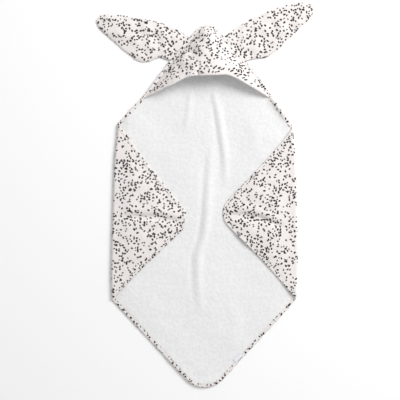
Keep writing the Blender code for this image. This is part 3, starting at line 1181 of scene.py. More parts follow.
@dataclass(frozen=True)
class LabelSatin:
    """Smooth white woven satin with fine ribs, a plain grey stripe along one side and no lettering."""

    name: str = "label_satin"
    colour: Colour = (0.86, 0.865, 0.9, 1.0)
    stripe: Colour = (0.16, 0.165, 0.2, 1.0)
    stripe_edge: float = 0.15 * MM
    rib: float = 0.5 * MM
    stripe_place: float = 3.4 * MM
    stripe_half: float = 0.8 * MM
    stripe_reach: float = 11 * MM

    def material(self) -> bpy.types.Material:
        """A cool white with ribs half a millimetre apart, and the stripe where the UV map says.

        Returns:
            The material.
        """
        graph = Graph(self.name)
        where = graph.cloth_place()
        parts = graph.node("SeparateXYZ", Vector=where)
        rib = graph.math("SINE", graph.math("MULTIPLY", parts.outputs[1], 2.0 * math.pi / self.rib))
        tint = graph.mix(graph.noise(where, 3 * MM, flat=True), self.colour, darker(self.colour, 0.93))
        edge = self.stripe_edge
        off_line = graph.math("ABSOLUTE", graph.math("SUBTRACT", parts.outputs[1], self.stripe_place))
        on_line = graph.ramp(off_line, self.stripe_half + edge, self.stripe_half)
        off_middle = graph.math("ABSOLUTE", parts.outputs[0])
        reach = graph.ramp(off_middle, self.stripe_reach + edge, self.stripe_reach)
        tint = graph.mix(graph.math("MULTIPLY", on_line, reach), tint, self.stripe)
        return graph.finish(tint, 0.42, 0.2, graph.bump(rib, 0.05 * MM, 0.5))


class Wardrobe:
    """Makes each finish once and dresses pieces in it."""

    def __init__(self) -> None:
        """Builds the materials."""
        self.printed = PrintedCotton().material()
        self.plain = PrintedCotton(name="plain_cotton", specks=False).material()
        self.terry = Terry().material()
        self.thread = Thread().material()
        self.label = LabelSatin().material()

    def dress(
        self, piece: bpy.types.Object, material: bpy.types.Material, slot: Slot, *nodes: str
    ) -> bpy.types.Object:
        """Gives a piece its material, hides the CAD nodes that it stands for and logs them.

        Args:
            piece: The piece.
            material: Its finish.
            slot: Its material slot in the record; not used.
            *nodes: Names of the CAD nodes that it replaces.

        Returns:
            The same piece.
        """
        piece.data.materials.append(material)
        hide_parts(*nodes)
        LOG.info("%s: %d faces, stands for %s", piece.name, len(piece.data.polygons), ", ".join(nodes))
        return piece


# ---------------------------------------------------------------- sub-assemblies


@dataclass(eq=False)
class EdgeTape:
    """The folded tape round the towel's edge, with a row of stitches on each face.

    The hood span is the stretch of the edge over which the tape also takes in the hood's rim.
    """

    walk: EdgeWalk
    wardrobe: Wardrobe
    hood_span: tuple[float, float]
    # Distance in from the edge and height off the middle surface, round the section, in millimetres.
    outer: tuple[tuple[float, float], ...] = (
        (9.8, 2.35), (8.3, 1.95), (6.6, 2.45), (4.2, 2.75), (1.8, 2.55), (0.3, 1.7), (-0.3, 0.2),
        (0.1, -1.2), (1.4, -1.95), (4.0, -2.1), (6.6, -2.1), (8.6, -2.05),
    )
    section_middle: tuple[float, float] = (5.0, 0.0)
    thickness: float = 0.65  # in millimetres, as the section is
    stitch_in: float = 8.2 * MM
    stitch_top: float = 1.97 * MM
    stitch_bottom: float = -2.07 * MM
    spacing: float = 3.6 * MM
    hood_stack: float = 4.6 * MM
    hood_ease: float = 22 * MM
    pucker: Waves = Waves(11 * MM, 1.0, seed=41)
    pucker_in: float = 0.22 * MM
    pucker_up: float = 0.14 * MM
    pucker_from: float = 6 * MM
    look: StitchLook = StitchLook()

    def section(self) -> tuple[Array, Array]:
        """The closed section: the outer line, then the inner line back, a cloth's thickness inside.

        Returns:
            The section's points in metres, and which of them are on the upper face.
        """
        outer = np.array(self.outer)
        step = np.gradient(outer, axis=0)
        normal = np.stack((step[:, 1], -step[:, 0]), 1)
        normal /= np.linalg.norm(normal, axis=1, keepdims=True)
        middle = np.array(self.section_middle)
        facing = np.sign(((middle - outer) * normal).sum(1, keepdims=True))
        inner = outer + normal * facing * self.thickness
        points = np.vstack((outer, inner[::-1])) * MM
        upper = points[:, 1] > 0.9 * MM
        return points, upper

    def stack(self, at: Array) -> Array:
        """How much higher the tape's upper face stands, where the hood's rim is under it.

        Args:
            at: Lengths along the edge.

        Returns:
            The extra height at each.
        """
        first, last = self.hood_span
        begun, left = smoothstep((at - first) / self.hood_ease), smoothstep((last - at) / self.hood_ease)
        return self.hood_stack * begun * left

    def build(self, name: str, surface: Surface, start: float, end: float) -> bpy.types.Object:
        """The tape along one stretch of the edge.

        Every section point keeps its distance in from the edge and its height off the middle surface,
        so the tape follows each bend of the cloth. Small waves along the edge pucker it.

        Args:
            name: The piece's name.
            surface: The middle surface that the tape is sewn to.
            start: Length along the edge at which the stretch starts.
            end: Length along the edge at which it ends.

        Returns:
            The tape.
        """
        at = np.linspace(start, end, int((end - start) / self.spacing) + 1)
        section, upper = self.section()
        pucker = self.pucker.at(np.stack((at, at * 0.0), -1))
        free = section[None, :, 0] > self.pucker_from
        inward = section[None, :, 0] + self.pucker_in * pucker[:, None] * free
        height = section[None, :, 1] + upper[None, :] * (self.stack(at) + self.pucker_up * pucker)[:, None]
        flat = self.walk.point(at)[:, None, :] + self.walk.inward(at)[:, None, :] * inward[..., None]
        around = running_length(np.vstack((section, section[:1])))
        uv = np.stack(np.broadcast_arrays(at[:, None] + 1.0, around[None, :] + 2.0), -1)
        return Mesher.tube(name, surface.lifted(flat, height), uv)

    def stitches(self, name: str, surface: Surface, start: float, end: float) -> bpy.types.Object:
        """Two rows of stitches, one on each face of the tape.

        Args:
            name: The piece's name.
            surface: The middle surface that the tape is sewn to.
            start: Length along the edge at which the rows start.
            end: Length along the edge at which they end.

        Returns:
            Both rows as one piece.
        """
        at = np.arange(start + self.look.pitch / 2.0, end, self.look.pitch)
        rows = []
        for face in (1.0, -1.0):
            over = self.stitch_top + self.stack(at)
            height = over if face > 0 else np.full(len(at), self.stitch_bottom)
            ends = []
            for sign in (-0.5, 0.5):
                place = at + sign * self.look.length
                flat = self.walk.point(place) + self.walk.inward(place) * self.stitch_in
                ends.append(surface.lifted(flat, height))
            flat = self.walk.point(at) + self.walk.inward(at) * self.stitch_in
            rows.append((ends[0], ends[1], surface.normal(flat) * face))
        return self.look.row(name, *(np.vstack(part) for part in zip(*rows)))

    def dressed(self, where: str, surface: Surface, start: float, end: float) -> list[bpy.types.Object]:
        """The tape and its stitching along one stretch, in their materials.

        Args:
            where: The stretch's name, which begins the names of pieces and CAD nodes.
            surface: The middle surface that the tape is sewn to.
            start: Length along the edge at which the stretch starts.
            end: Length along the edge at which it ends.

        Returns:
            The tape and its stitches.
        """
        tape = self.build(f"{where}_tape", surface, start, end)
        sewing = self.stitches(f"{where}_tape_stitches", surface, start, end)
        self.wardrobe.dress(tape, self.wardrobe.printed, Slot.PRINT, f"{where}_edge_binding")
        self.wardrobe.dress(sewing, self.wardrobe.thread, Slot.THREAD, f"{where}_binding_stitching")
        return [tape, sewing]


@dataclass(eq=False)
class TowelBack:
    """The lying part of the towel: terry over print, and the woven label."""

    back: Back
    walk: EdgeWalk
    wardrobe: Wardrobe
    hem_inset: float = 1.5 * MM
    terry_grid: tuple[int, int] = (250, 148)
    print_grid: tuple[int, int] = (170, 96)
    row_crowding: float = 0.93
    column_crowding: float = 0.45
    label_size: tuple[float, float] = (30 * MM, 17.5 * MM)
    label_grid: tuple[int, int] = (21, 25)
    label_start: float = 0.6 * MM
    label_place: float = 142 * MM
    label_thickness: float = 0.55 * MM
    label_height: float = 3.0 * MM  # off the middle surface, over the tape
    label_drop: float = 0.7 * MM  # where it has left the tape
    label_curl: float = 1.6 * MM
    label_cup: float = 0.4 * MM

    def grid(self, rows: int, columns: int) -> Array:
        """Flat points row by row, from the left edge or fold to the right one.

        Rows crowd towards the two rounded corners and columns towards the sides.

        Args:
            rows: Number of rows, from the bottom corner to the top one.
            columns: Number of points in a row.

        Returns:
            The grid, by row and column.
        """
        low, high = (f(self.back.outline.path(self.hem_inset)[:, 1]) for f in (np.min, np.max))
        y = low + (high - low) * crowded(rows, self.row_crowding)
        left, right = self.back.outline.sides_at(y, self.hem_inset)
        left = np.maximum(left, self.back.folds[Side.LEFT].start_x(y))
        right = np.minimum(right, self.back.folds[Side.RIGHT].start_x(y))
        x = left[:, None] + (right - left)[:, None] * crowded(columns, self.column_crowding)
        return np.stack((x, np.broadcast_to(y[:, None], x.shape)), -1)

    def cloths(self) -> list[bpy.types.Object]:
        """The two cloths, each a closed sheet between its low and high face.

        Returns:
            The terry and the print.
        """
        made = []
        parts = (
            ("back_terry", self.terry_grid, self.back.layers.terry, self.wardrobe.terry, Slot.TERRY,
             "back_terry_panel"),
            ("back_print", self.print_grid, self.back.layers.printed, self.wardrobe.printed, Slot.PRINT,
             "back_print_panel"),
        )
        for name, (rows, columns), faces, material, slot, node in parts:
            flat = self.grid(rows, columns)
            low, high = faces(self.back.outline.depth(flat))
            piece = Mesher.slab(name, *self.back.lifted(flat, high, low), flat)
            self.wardrobe.dress(piece, material, slot, node)
            made.append(piece)
        return made

    def label(self) -> bpy.types.Object:
        """A small label sewn over the tape: it lies on the tape, then on the terry, its free end raised.

        Returns:
            The label.
        """
        long, wide = self.label_size
        spans, rows = self.label_grid
        at = self.label_place + np.linspace(-0.5, 0.5, spans) * long
        out = np.linspace(0.0, 1.0, rows)
        depth = self.label_start + out * wide
        flat = self.walk.point(at)[:, None, :] + self.walk.inward(at)[:, None, :] * depth[None, :, None]
        off_tape = smoothstep((depth - 9 * MM) / (3 * MM))[None, :]
        curl = self.label_height - self.label_drop * off_tape + self.label_curl * out[None, :] ** 6
        curl = curl + self.label_cup * off_tape * np.linspace(-1.0, 1.0, spans)[:, None] ** 2
        top = self.back.lifted(flat, curl + self.label_thickness)
        bottom = self.back.lifted(flat, np.broadcast_to(curl, flat.shape[:2]))
        uv = np.stack(np.broadcast_arrays(at[:, None] - self.label_place, depth[None, :]), -1)
        piece = Mesher.slab("woven_label_cloth", top, bottom, uv)
        return self.wardrobe.dress(piece, self.wardrobe.label, Slot.LABEL, "woven_label")


@dataclass(eq=False)
class SideFlap:
    """One folded corner: terry, print, tape and stitching, rolled over along the fold."""

    flap: Flap
    tape: EdgeTape
    wardrobe: Wardrobe
    hem_inset: float = TowelBack.hem_inset
    grid_size: tuple[int, int] = (150, 92)
    search: float = 0.4  # how far up and down the corner is looked for
    bend_gap: float = 0.8 * MM

    @property
    def word(self) -> str:
        """The side's name as it stands in the names of pieces."""
        return self.flap.fold.side.word

    def grid(self) -> Array:
        """Flat points row by row, from the start of the roll out to the corner's edge.

        Columns crowd near the roll: the share t becomes 0.35 t + 0.65 t^2.

        Returns:
            The grid, by row and column.
        """
        fold, side = self.flap.fold, self.flap.fold.side
        outline = self.flap.back.outline
        y = np.linspace(-self.search, self.search, 4001)
        edge = outline.sides_at(y, self.hem_inset)[0 if side is Side.LEFT else 1]
        beyond = side.value * (edge - fold.start_x(y)) > 0.0
        rows, columns = self.grid_size
        y = np.linspace(y[beyond].min(), y[beyond].max(), rows)
        edge = outline.sides_at(y, self.hem_inset)[0 if side is Side.LEFT else 1]
        start = fold.start_x(y)
        t = np.linspace(0.0, 1.0, columns)
        x = start[:, None] + (edge - start)[:, None] * (0.35 * t + 0.65 * t**2)
        return np.stack((x, np.broadcast_to(y[:, None], x.shape)), -1)

    def build(self, start: float, end: float) -> dict[str, bpy.types.Object]:
        """Every piece of the flap, each bent over the roll.

        Args:
            start: Length along the edge at which the flap's tape starts.
            end: Length along the edge at which it ends.

        Returns:
            The pieces by kind.
        """
        flat = self.grid()
        depth = self.flap.back.outline.depth(flat)
        layers = self.flap.back.layers
        pieces = {}
        for kind, faces, material, slot in (
            ("terry", layers.terry, self.wardrobe.terry, Slot.TERRY),
            ("print", layers.printed, self.wardrobe.printed, Slot.PRINT),
        ):
            low, high = faces(depth)
            piece = Mesher.slab(f"{self.word}_flap_{kind}", *self.flap.lifted(flat, high, low), flat)
            pieces[kind] = self.wardrobe.dress(piece, material, slot, f"{self.word}_flap_{kind}_panel")
        pieces["tape"], pieces["stitches"] = self.tape.dressed(f"{self.word}_flap", self.flap, start, end)
        half = layers.half
        low = 2.0 * half + self.bend_gap
        bend = self.flap.fold.bend_ends(low, 2.0 * self.flap.fold.roll - low)
        for piece in pieces.values():
            f"{self.word}_flap"
            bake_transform(piece)
        return pieces


@dataclass(eq=False)
class Hood:
    """The hood: terry lining, printed shell, a plain hem round its front edge and a row of stitches."""

    dome: HoodDome
    wardrobe: Wardrobe
    grid_size: tuple[int, int] = (190, 60)
    crowding: float = 0.55
    search: float = 0.26  # how far to either side the hood's ends are looked for
    rim_inset: float = 2.4 * MM
    # Distance back from the front edge and height off the middle surface, round the hem's section.
    hem_section: tuple[tuple[float, float], ...] = (
        (4.8, 2.5), (3.4, 2.45), (1.4, 2.6), (-0.3, 1.6), (-0.8, -0.2), (-0.2, -2.0),
        (2.0, -3.0), (5.0, -3.05), (8.0, -2.95), (8.0, -2.3), (5.0, -2.35), (2.4, -2.3),
        (0.5, -1.6), (0.0, -0.1), (0.4, 1.3), (1.5, 2.0), (3.4, 2.03), (4.8, 1.95),
    )
    press_from: float = 7 * MM  # distance from the edge up to which the cloths are pressed together
    press_ease: float = 9 * MM
    walk_end: float = 1.5 * MM
    hem_steps: int = 220
    hem_narrow: float = 8 * MM  # room in front of the rim below which the hem narrows
    stitch_in: float = 3.5 * MM
    stitch_top: float = 2.47 * MM
    stitch_room: float = 14 * MM
    look: StitchLook = StitchLook()
    ends: tuple[float, float] = field(init=False)

    def __post_init__(self) -> None:
        """Finds the hood's two ends on the towel's edge."""
        x = np.linspace(-self.search, self.search, 2081)
        inside = self.rim(x) > self.dome.front(x) + 1.0 * MM
        self.ends = (x[inside].min(), x[inside].max())

    def rim(self, x: Array) -> Array:
        """The sewn rim in plan: the towel's upper edge, a little inside it.

        Args:
            x: The X of each place.

        Returns:
            The Y of the rim there.
        """
        path = self.dome.outline.path(self.rim_inset)
        upper = path[path[:, 1] > HOOD_LOW]
        order = upper[:, 0].argsort()
        return np.interp(x, upper[order, 0], upper[order, 1])

    def grid(self) -> Array:
        """Flat points, span by span across the hood and from its front edge back to its rim.

        Returns:
            The grid, by span and row.
        """
        spans, rows = self.grid_size
        x = self.ends[0] + (self.ends[1] - self.ends[0]) * crowded(spans, self.crowding)
        front, rim = self.dome.front(x), self.rim(x)
        t = np.linspace(0.0, 1.0, rows)
        y = front[:, None] + (rim - front)[:, None] * (t + 0.12 * np.sin(math.pi * t))
        return np.stack((np.broadcast_to(x[:, None], y.shape), y), -1)

    def cloth_uv(self, flat: Array) -> Array:
        """The flat place plus the extra length that the slopes take up, so the print isn't stretched.

        Along each way of the grid, the extra is the running sum of step length in space less step
        length in plan.

        Args:
            flat: Flat points, by span and row.

        Returns:
            The cloth's UV at those points.
        """
        middle = self.dome.middle(flat)
        extra = []
        for way in (0, 1):
            grown = np.linalg.norm(np.diff(middle, axis=way), axis=-1)
            grown = np.cumsum(grown - np.linalg.norm(np.diff(flat, axis=way), axis=-1), axis=way)
            extra.append(np.concatenate((np.zeros_like(np.take(grown, [0], way)), grown), way))
        return flat + 0.8 + np.stack(extra, -1)

    def thickness(self, flat: Array) -> dict[str, tuple[Array, Array]]:
        """Faces of lining and shell off the middle surface, pressed together under the tape.

        Args:
            flat: Points of the flat towel, any shape ending in 2.

        Returns:
            Low and high face of each cloth, by its name.
        """
        free = smoothstep((self.dome.outline.depth(flat) - self.press_from) / self.press_ease)
        lining_low = (-1.3 - 0.7 * free) * MM
        lining_high = (0.5 + 0.5 * free) * MM
        shell_low = lining_high + 0.3 * MM
        return {"lining": (lining_low, lining_high), "shell": (shell_low, shell_low + 0.7 * MM)}

    def front_walk(self, count: int) -> tuple[Array, Array]:
        """Evenly spaced flat points along the front edge, and the direction back into the hood.

        Args:
            count: Number of points.

        Returns:
            The points, and a unit direction at each.
        """
        x = np.linspace(self.ends[0] + self.walk_end, self.ends[1] - self.walk_end, 1200)
        edge = np.stack((x, self.dome.front(x)), -1)
        length = running_length(edge)
        point = at_length(edge, length, np.linspace(0.0, length[-1], count))
        step = np.gradient(point, axis=0)
        back = np.stack((-step[:, 1], step[:, 0]), -1)
        return point, back / np.linalg.norm(back, axis=1, keepdims=True)

    def hem(self) -> bpy.types.Object:
        """The hem: its section keeps its distance from the front edge, narrowing at the hood's ends.

        Returns:
            The hem.
        """
        point, back = self.front_walk(self.hem_steps)
        section = np.array(self.hem_section) * MM
        room = (self.rim(point[:, 0]) - point[:, 1]) * 0.6
        narrow = np.minimum(1.0, np.maximum(room, 0.5 * MM) / self.hem_narrow)
        flat = point[:, None, :] + back[:, None, :] * (section[None, :, 0:1] * narrow[:, None, None])
        height = np.broadcast_to(section[None, :, 1], flat.shape[:2])
        around = running_length(np.vstack((section, section[:1])))
        along = np.linspace(0.0, 0.46, len(point))
        uv = np.stack(np.broadcast_arrays(along[:, None] + 3.0, around[None, :] + 3.0), -1)
        return Mesher.tube("hood_front_hem", self.dome.lifted(flat, height), uv)

    def stitches(self) -> bpy.types.Object:
        """A row of stitches on the hem, where it is wide enough to hold them.

        Returns:
            The row as one piece.
        """
        look = self.look
        point, back = self.front_walk(2400)
        wide = (self.rim(point[:, 0]) - point[:, 1]) > self.stitch_room
        point, back = point[wide], back[wide]
        length = running_length(point)
        line = point + back * self.stitch_in
        at = np.arange(look.pitch, length[-1] - look.pitch, look.pitch)
        height = np.full(len(at), self.stitch_top)
        low, high = (
            self.dome.lifted(at_length(line, length, at + sign * look.length / 2), height)
            for sign in (-1.0, 1.0)
        )
        return look.row("hood_hem_stitches", low, high, self.dome.normal(at_length(line, length, at)))

    def build(self) -> dict[str, bpy.types.Object]:
        """Every piece of the hood.

        Returns:
            The pieces by kind.
        """
        flat = self.grid()
        faces = self.thickness(flat)
        pieces = {}
        for kind, name, material, slot, node in (
            ("lining", "hood_lining", self.wardrobe.terry, Slot.TERRY, "hood_terry_lining"),
            ("shell", "hood_shell", self.wardrobe.printed, Slot.PRINT, "hood_print_shell"),
        ):
            low, high = faces[kind]
            piece = Mesher.slab(name, *self.dome.lifted(flat, high, low), self.cloth_uv(flat))
            pieces[kind] = self.wardrobe.dress(piece, material, slot, node)
        dress = self.wardrobe.dress
        pieces["hem"] = dress(self.hem(), self.wardrobe.plain, Slot.PRINT, "hood_front_facing")
        pieces["stitches"] = dress(
            self.stitches(), self.wardrobe.thread, Slot.THREAD, "hood_hem_stitching"
        )
        for piece in pieces.values():
            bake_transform(piece)
        return pieces


@dataclass(frozen=True)
class EarCut:
    """One ear's pattern: its axis in plan, and how wide it is on either side along its length."""

    side: Side
    root: tuple[float, float]  # middle of the root, in millimetres
    tip: tuple[float, float]
    upper: tuple[tuple[float, float], ...]  # share of the length, and width in millimetres
    lower: tuple[tuple[float, float], ...]
    crease: Ridge
    seed: int


@dataclass(eq=False)
class Ear:
    """A long ear: two printed panels over a thin wadding, sewn into the hood's seam."""

    cut: EarCut
    wardrobe: Wardrobe
    grid_size: tuple[int, int] = (90, 49)
    tip_start: float = 0.88
    tip_crowding: float = 1.45
    seam_turn: float = 0.30  # share of the length over which the root's slant runs out
    root_share: float = 0.16  # share of the length over which the root's height runs out
    crown: float = 8.6 * MM
    edge_height: float = 2.6 * MM
    root_height: float = 5.4 * MM
    floor_gap: float = 0.5 * MM
    lowest: float = 0.35 * MM
    panel: float = 0.7 * MM
    wadding_gap: float = 0.3 * MM
    wadding_half: float = 0.15 * MM  # at its thin edge
    wadding_shrink: float = 0.035
    tucked: float = 5.0 * MM  # how far the root runs in under the tape
    bend_reach: float = 24 * MM
    stitch_in: float = 5.2 * MM
    stitch_span: tuple[float, float] = (0.04, 0.985)  # shares of the length between which it is sewn
    stitch_steps: int = 400
    look: StitchLook = StitchLook(pitch=3.6 * MM, length=2.6 * MM, radius=0.28 * MM)
    pivot: Array = field(init=False)
    outward: Array = field(init=False)
    seam: Array = field(init=False)
    root: Array = field(init=False)
    length: float = field(init=False)
    axis: Array = field(init=False)
    across: Array = field(init=False)

    @property
    def word(self) -> str:
        """The ear's name as it stands in the names of pieces and of its joint."""
        return f"{self.cut.side.word}_ear"

    def __post_init__(self) -> None:
        """Works out the ear's axes from its pattern and its joint."""
        cut = self.cut
        joint = joint_named(f"{self.word}_fold")
        self.pivot = np.array(joint["pos_m"], float)
        axis = np.array(joint["axis"][:2], float)
        self.outward = np.array((-axis[1], axis[0]))  # the axis turned left points out of the towel
        self.seam = axis * np.sign(axis[1])
        root, tip = np.array(cut.root) * MM, np.array(cut.tip) * MM
        self.length = float(np.linalg.norm(tip - root))
        self.axis = (tip - root) / self.length
        self.across = np.array((-self.axis[1], self.axis[0])) * cut.side.value
        self.root = root

    @staticmethod
    def smooth_width(pairs: Sequence[tuple[float, float]], at: Array) -> Array:
        """Width along the ear: straight lines through the pattern's points, averaged over a tenth.

        Args:
            pairs: Share of the length and width in millimetres, from root to tip.
            at: Shares of the length at which the width is wanted.

        Returns:
            The widths in metres.
        """
        table = np.array(pairs)
        fine = np.linspace(-0.05, 1.05, 221)
        value = softened(np.interp(fine, table[:, 0], table[:, 1]), 23)
        return np.interp(at, fine, value) * MM

    def plan(self, u: Array, v: Array) -> Array:
        """Place in plan for u from root to tip and v from the lower side, -1, to the upper side, 1.

        The half width closes to nothing at the tip along a quarter ellipse. The root is cut along the
        seam, so the direction across swings from the seam's to the ear's own.

        Args:
            u: Shares of the ear's length.
            v: Shares of its half width.

        Returns:
            Points of the plane.
        """
        upper, lower = self.smooth_width(self.cut.upper, u), self.smooth_width(self.cut.lower, u)
        widths = np.where(v > 0, upper, lower)
        closing = np.clip((u - self.tip_start) / (1.0 - self.tip_start), 0.0, 1.0)
        widths = widths * np.sqrt(np.maximum(1.0 - closing**2, 0.0))
        swing = smoothstep(u / self.seam_turn)[..., None]
        across = self.seam * (1.0 - swing) + self.across * swing
        across = across / np.maximum((across @ self.across)[..., None], 0.3)
        return self.root + (u * self.length)[..., None] * self.axis + (v * widths)[..., None] * across

    def heights(self, u: Array, v: Array, plan: Array) -> tuple[Array, Array]:
        """Lower and upper face: a pillow that thins to its sewn edges and rises to meet the seam.

        Across the ear the pillow is (1 - |v|^2.6)^0.62, and it closes as a square root at the tip.

        Args:
            u: Shares of the ear's length.
            v: Shares of its half width.
            plan: Places in plan, where the waves and the crease are read.

        Returns:
            Heights of the lower and the upper face, between which the wadding lies.
        """
        near_root = 1.0 - smoothstep(u / self.root_share)
        pillow = (1.0 - np.abs(v) ** 2.6) ** 0.62
        pillow = pillow * np.sqrt(np.clip((1.02 - u) / 0.14, 0.0, 1.0))
        edge = self.edge_height * (1.0 - near_root) + self.root_height * near_root
        soft = Waves(46 * MM, 1.0 * MM, self.cut.seed).at(plan) * pillow
        pucker = Waves(13 * MM, 0.45 * MM, self.cut.seed + 1).at(plan) * (1.0 - pillow) ** 2
        fall = self.cut.crease.at(plan) * pillow
        top = edge + (self.crown - edge) * pillow * (1.0 - 0.75 * near_root)
        top = top + soft * (1.0 - near_root) - fall + pucker
        bottom = edge - (edge - self.floor_gap) * pillow * (1.0 - near_root) + pucker
        bottom = np.maximum(bottom, self.lowest)
        return bottom, np.maximum(top, bottom)

    def faces(self, shrink: float = 0.0) -> tuple[Array, Array, Array, Array]:
        """Plan points, both face heights and UV on the ear's grid.

        Args:
            shrink: Share by which the grid is drawn in, for the wadding.

        Returns:
            The plan points, the lower heights, the upper heights and the UV.
        """
        rows, columns = self.grid_size
        q = np.linspace(0.0, 1.0, rows)
        first = -self.tucked / self.length
        u = first + (1.0 - first) * (1.0 - (1.0 - q) ** self.tip_crowding)
        v = np.sin(np.linspace(-math.pi / 2.0, math.pi / 2.0, columns))
        u, v = np.meshgrid(u * (1.0 - shrink), v * (1.0 - shrink), indexing="ij")
        plan = self.plan(u, v)
        low, high = self.heights(u, v, plan)
        return plan, low, high, plan + np.array((2.0 + self.cut.side.value * 0.31, 0.4))

    @staticmethod
    def raised(plan: Array, height: Array) -> Array:
        """Plan points with their heights."""
        return np.concatenate((plan, height[..., None]), -1)

    def sheet_between(
        self, kind: str, plan: Array, top: Array, bottom: Array, uv: Array
    ) -> bpy.types.Object:
        """A closed sheet over the plan points, between two heights."""
        return Mesher.slab(f"{self.word}_{kind}", self.raised(plan, top), self.raised(plan, bottom), uv)

    def stitches(self) -> bpy.types.Object:
        """Topstitching a few millimetres inside the ear's sewn edge, on its upper face.

        Returns:
            The row as one piece.
        """
        look = self.look
        (first, last), steps = self.stitch_span, self.stitch_steps
        u = np.concatenate((np.linspace(first, last, steps), np.linspace(last, first, steps)))
        v = np.repeat((-1.0, 1.0), steps)
        edge = self.plan(u, v)
        centre = self.plan(np.clip(u, 0.0, 0.9), np.zeros(2 * steps))
        room = np.linalg.norm(centre - edge, axis=1)
        line = edge + (centre - edge) / room[:, None] * self.stitch_in
        length = running_length(line)
        share = 1.0 - self.stitch_in / room
        height = self.heights(u, v * share, line)[1] + self.panel
        path = self.raised(line, height)
        at = np.arange(look.pitch, length[-1] - look.pitch, look.pitch)
        low, high = (at_length(path, length, at + s * look.length / 2.0) for s in (-1.0, 1.0))
        up = np.broadcast_to((0.0, 0.0, 1.0), low.shape)
        return look.row(f"{self.word}_stitches", low, high, up)

    def build(self) -> dict[str, bpy.types.Object]:
        """The two panels, the wadding and the topstitching.

        Returns:
            The pieces by kind.
        """
        plan, low, high, uv = self.faces()
        panel = np.full(low.shape, self.panel)
        front = self.sheet_between("front", plan, high + panel, high, uv)
        back = self.sheet_between("back", plan, low, np.maximum(low - panel, 0.0), uv)
        plan, low, high, uv = self.faces(shrink=self.wadding_shrink)
        middle = (low + high) / 2.0
        core_low = np.minimum(low + self.wadding_gap, middle - self.wadding_half)
        core_high = np.maximum(high - self.wadding_gap, middle + self.wadding_half)
        wadding = self.sheet_between("wadding", plan, core_high, core_low, uv)
        dress = self.wardrobe.dress
        pieces = {
            "front": dress(front, self.wardrobe.printed, Slot.PRINT, f"{self.word}_front_panel"),
            "back": dress(back, self.wardrobe.printed, Slot.PRINT, f"{self.word}_back_panel"),
            "wadding": dress(wadding, self.wardrobe.terry, Slot.TERRY, f"{self.word}_filling"),
            "stitches": dress(
                self.stitches(), self.wardrobe.thread, Slot.THREAD, f"{self.word}_edge_stitching"
            ),
        }
        start = np.append(self.pivot[:2], 0.0)
        for piece in pieces.values():
            self.word
            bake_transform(piece)
        return pieces


# ---------------------------------------------------------------- stage


@dataclass(frozen=True)
class Studio:
    """A pale floor, soft light from the upper right and a camera straight above."""

    frame_width: float = 1.216
    centre: tuple[float, float] = (-0.0152, 0.0365)
    camera_height: float = 3.2
    sensor: float = 36.0
    floor_reach: float = 6.0
    floor_drop: float = -0.5 * MM
    key_place: tuple[float, float, float] = (2.45, 2.35, 3.0)
    key_size: float = 2.2
    key_power: float = 161.0
    sky_strength: float = 0.56

    def floor(self) -> None:
        """A wide white plane just under the towel."""
        mesh = bpy.data.meshes.new("floor")
        reach, drop = self.floor_reach, self.floor_drop
        corners = [(x * reach, y * reach, drop) for x, y in ((-1, -1), (1, -1), (1, 1), (-1, 1))]
        mesh.from_pydata(corners, [], [(0, 1, 2, 3)])
        graph = Graph("studio_floor")
        graph.shader.inputs["Base Color"].default_value = (0.97, 0.97, 0.975, 1.0)
        graph.shader.inputs["Roughness"].default_value = 0.9
        mesh.materials.append(graph.material)
        made = bpy.data.objects.new("floor", mesh)
        bpy.context.scene.collection.objects.link(made)

    def area_light(self, name: str, place: tuple[float, float, float], size: float, power: float) -> None:
        """A square soft light that faces the towel's middle.

        Args:
            name: The light's name.
            place: Where it hangs.
            size: Length of its side.
            power: Its power in watts.
        """
        light = bpy.data.lights.new(name, "AREA")
        light.size = size
        light.energy = power
        made = bpy.data.objects.new(name, light)
        made.location = place
        direction = -np.array(place) / np.linalg.norm(place)
        tilt = math.acos(-direction[2])
        made.rotation_euler = (tilt, 0.0, math.atan2(direction[1], direction[0]) - math.pi / 2.0)
        bpy.context.scene.collection.objects.link(made)

    def build(self) -> None:
        """Floor, light, sky and camera."""
        self.floor()
        self.area_light("key", self.key_place, self.key_size, self.key_power)
        self.sky()
        self.camera()

    def sky(self) -> None:
        """An even white sky, and colours shown as they are."""
        world = bpy.data.worlds.new("studio")
        world.use_nodes = True
        sky = world.node_tree.nodes["Background"]
        sky.inputs["Color"].default_value = (1.0, 1.0, 1.0, 1.0)
        sky.inputs["Strength"].default_value = self.sky_strength
        bpy.context.scene.world = world
        bpy.context.scene.view_settings.view_transform = "Standard"

    def camera(self) -> None:
        """A camera straight above that frames the whole towel."""
        camera = bpy.data.cameras.new("camera")
        camera.sensor_width = self.sensor
        camera.lens = self.sensor * self.camera_height / self.frame_width
        made = bpy.data.objects.new("camera", camera)
        made.location = (*self.centre, self.camera_height)
        bpy.context.scene.collection.objects.link(made)
        bpy.context.scene.camera = made


# ---------------------------------------------------------------- the whole towel


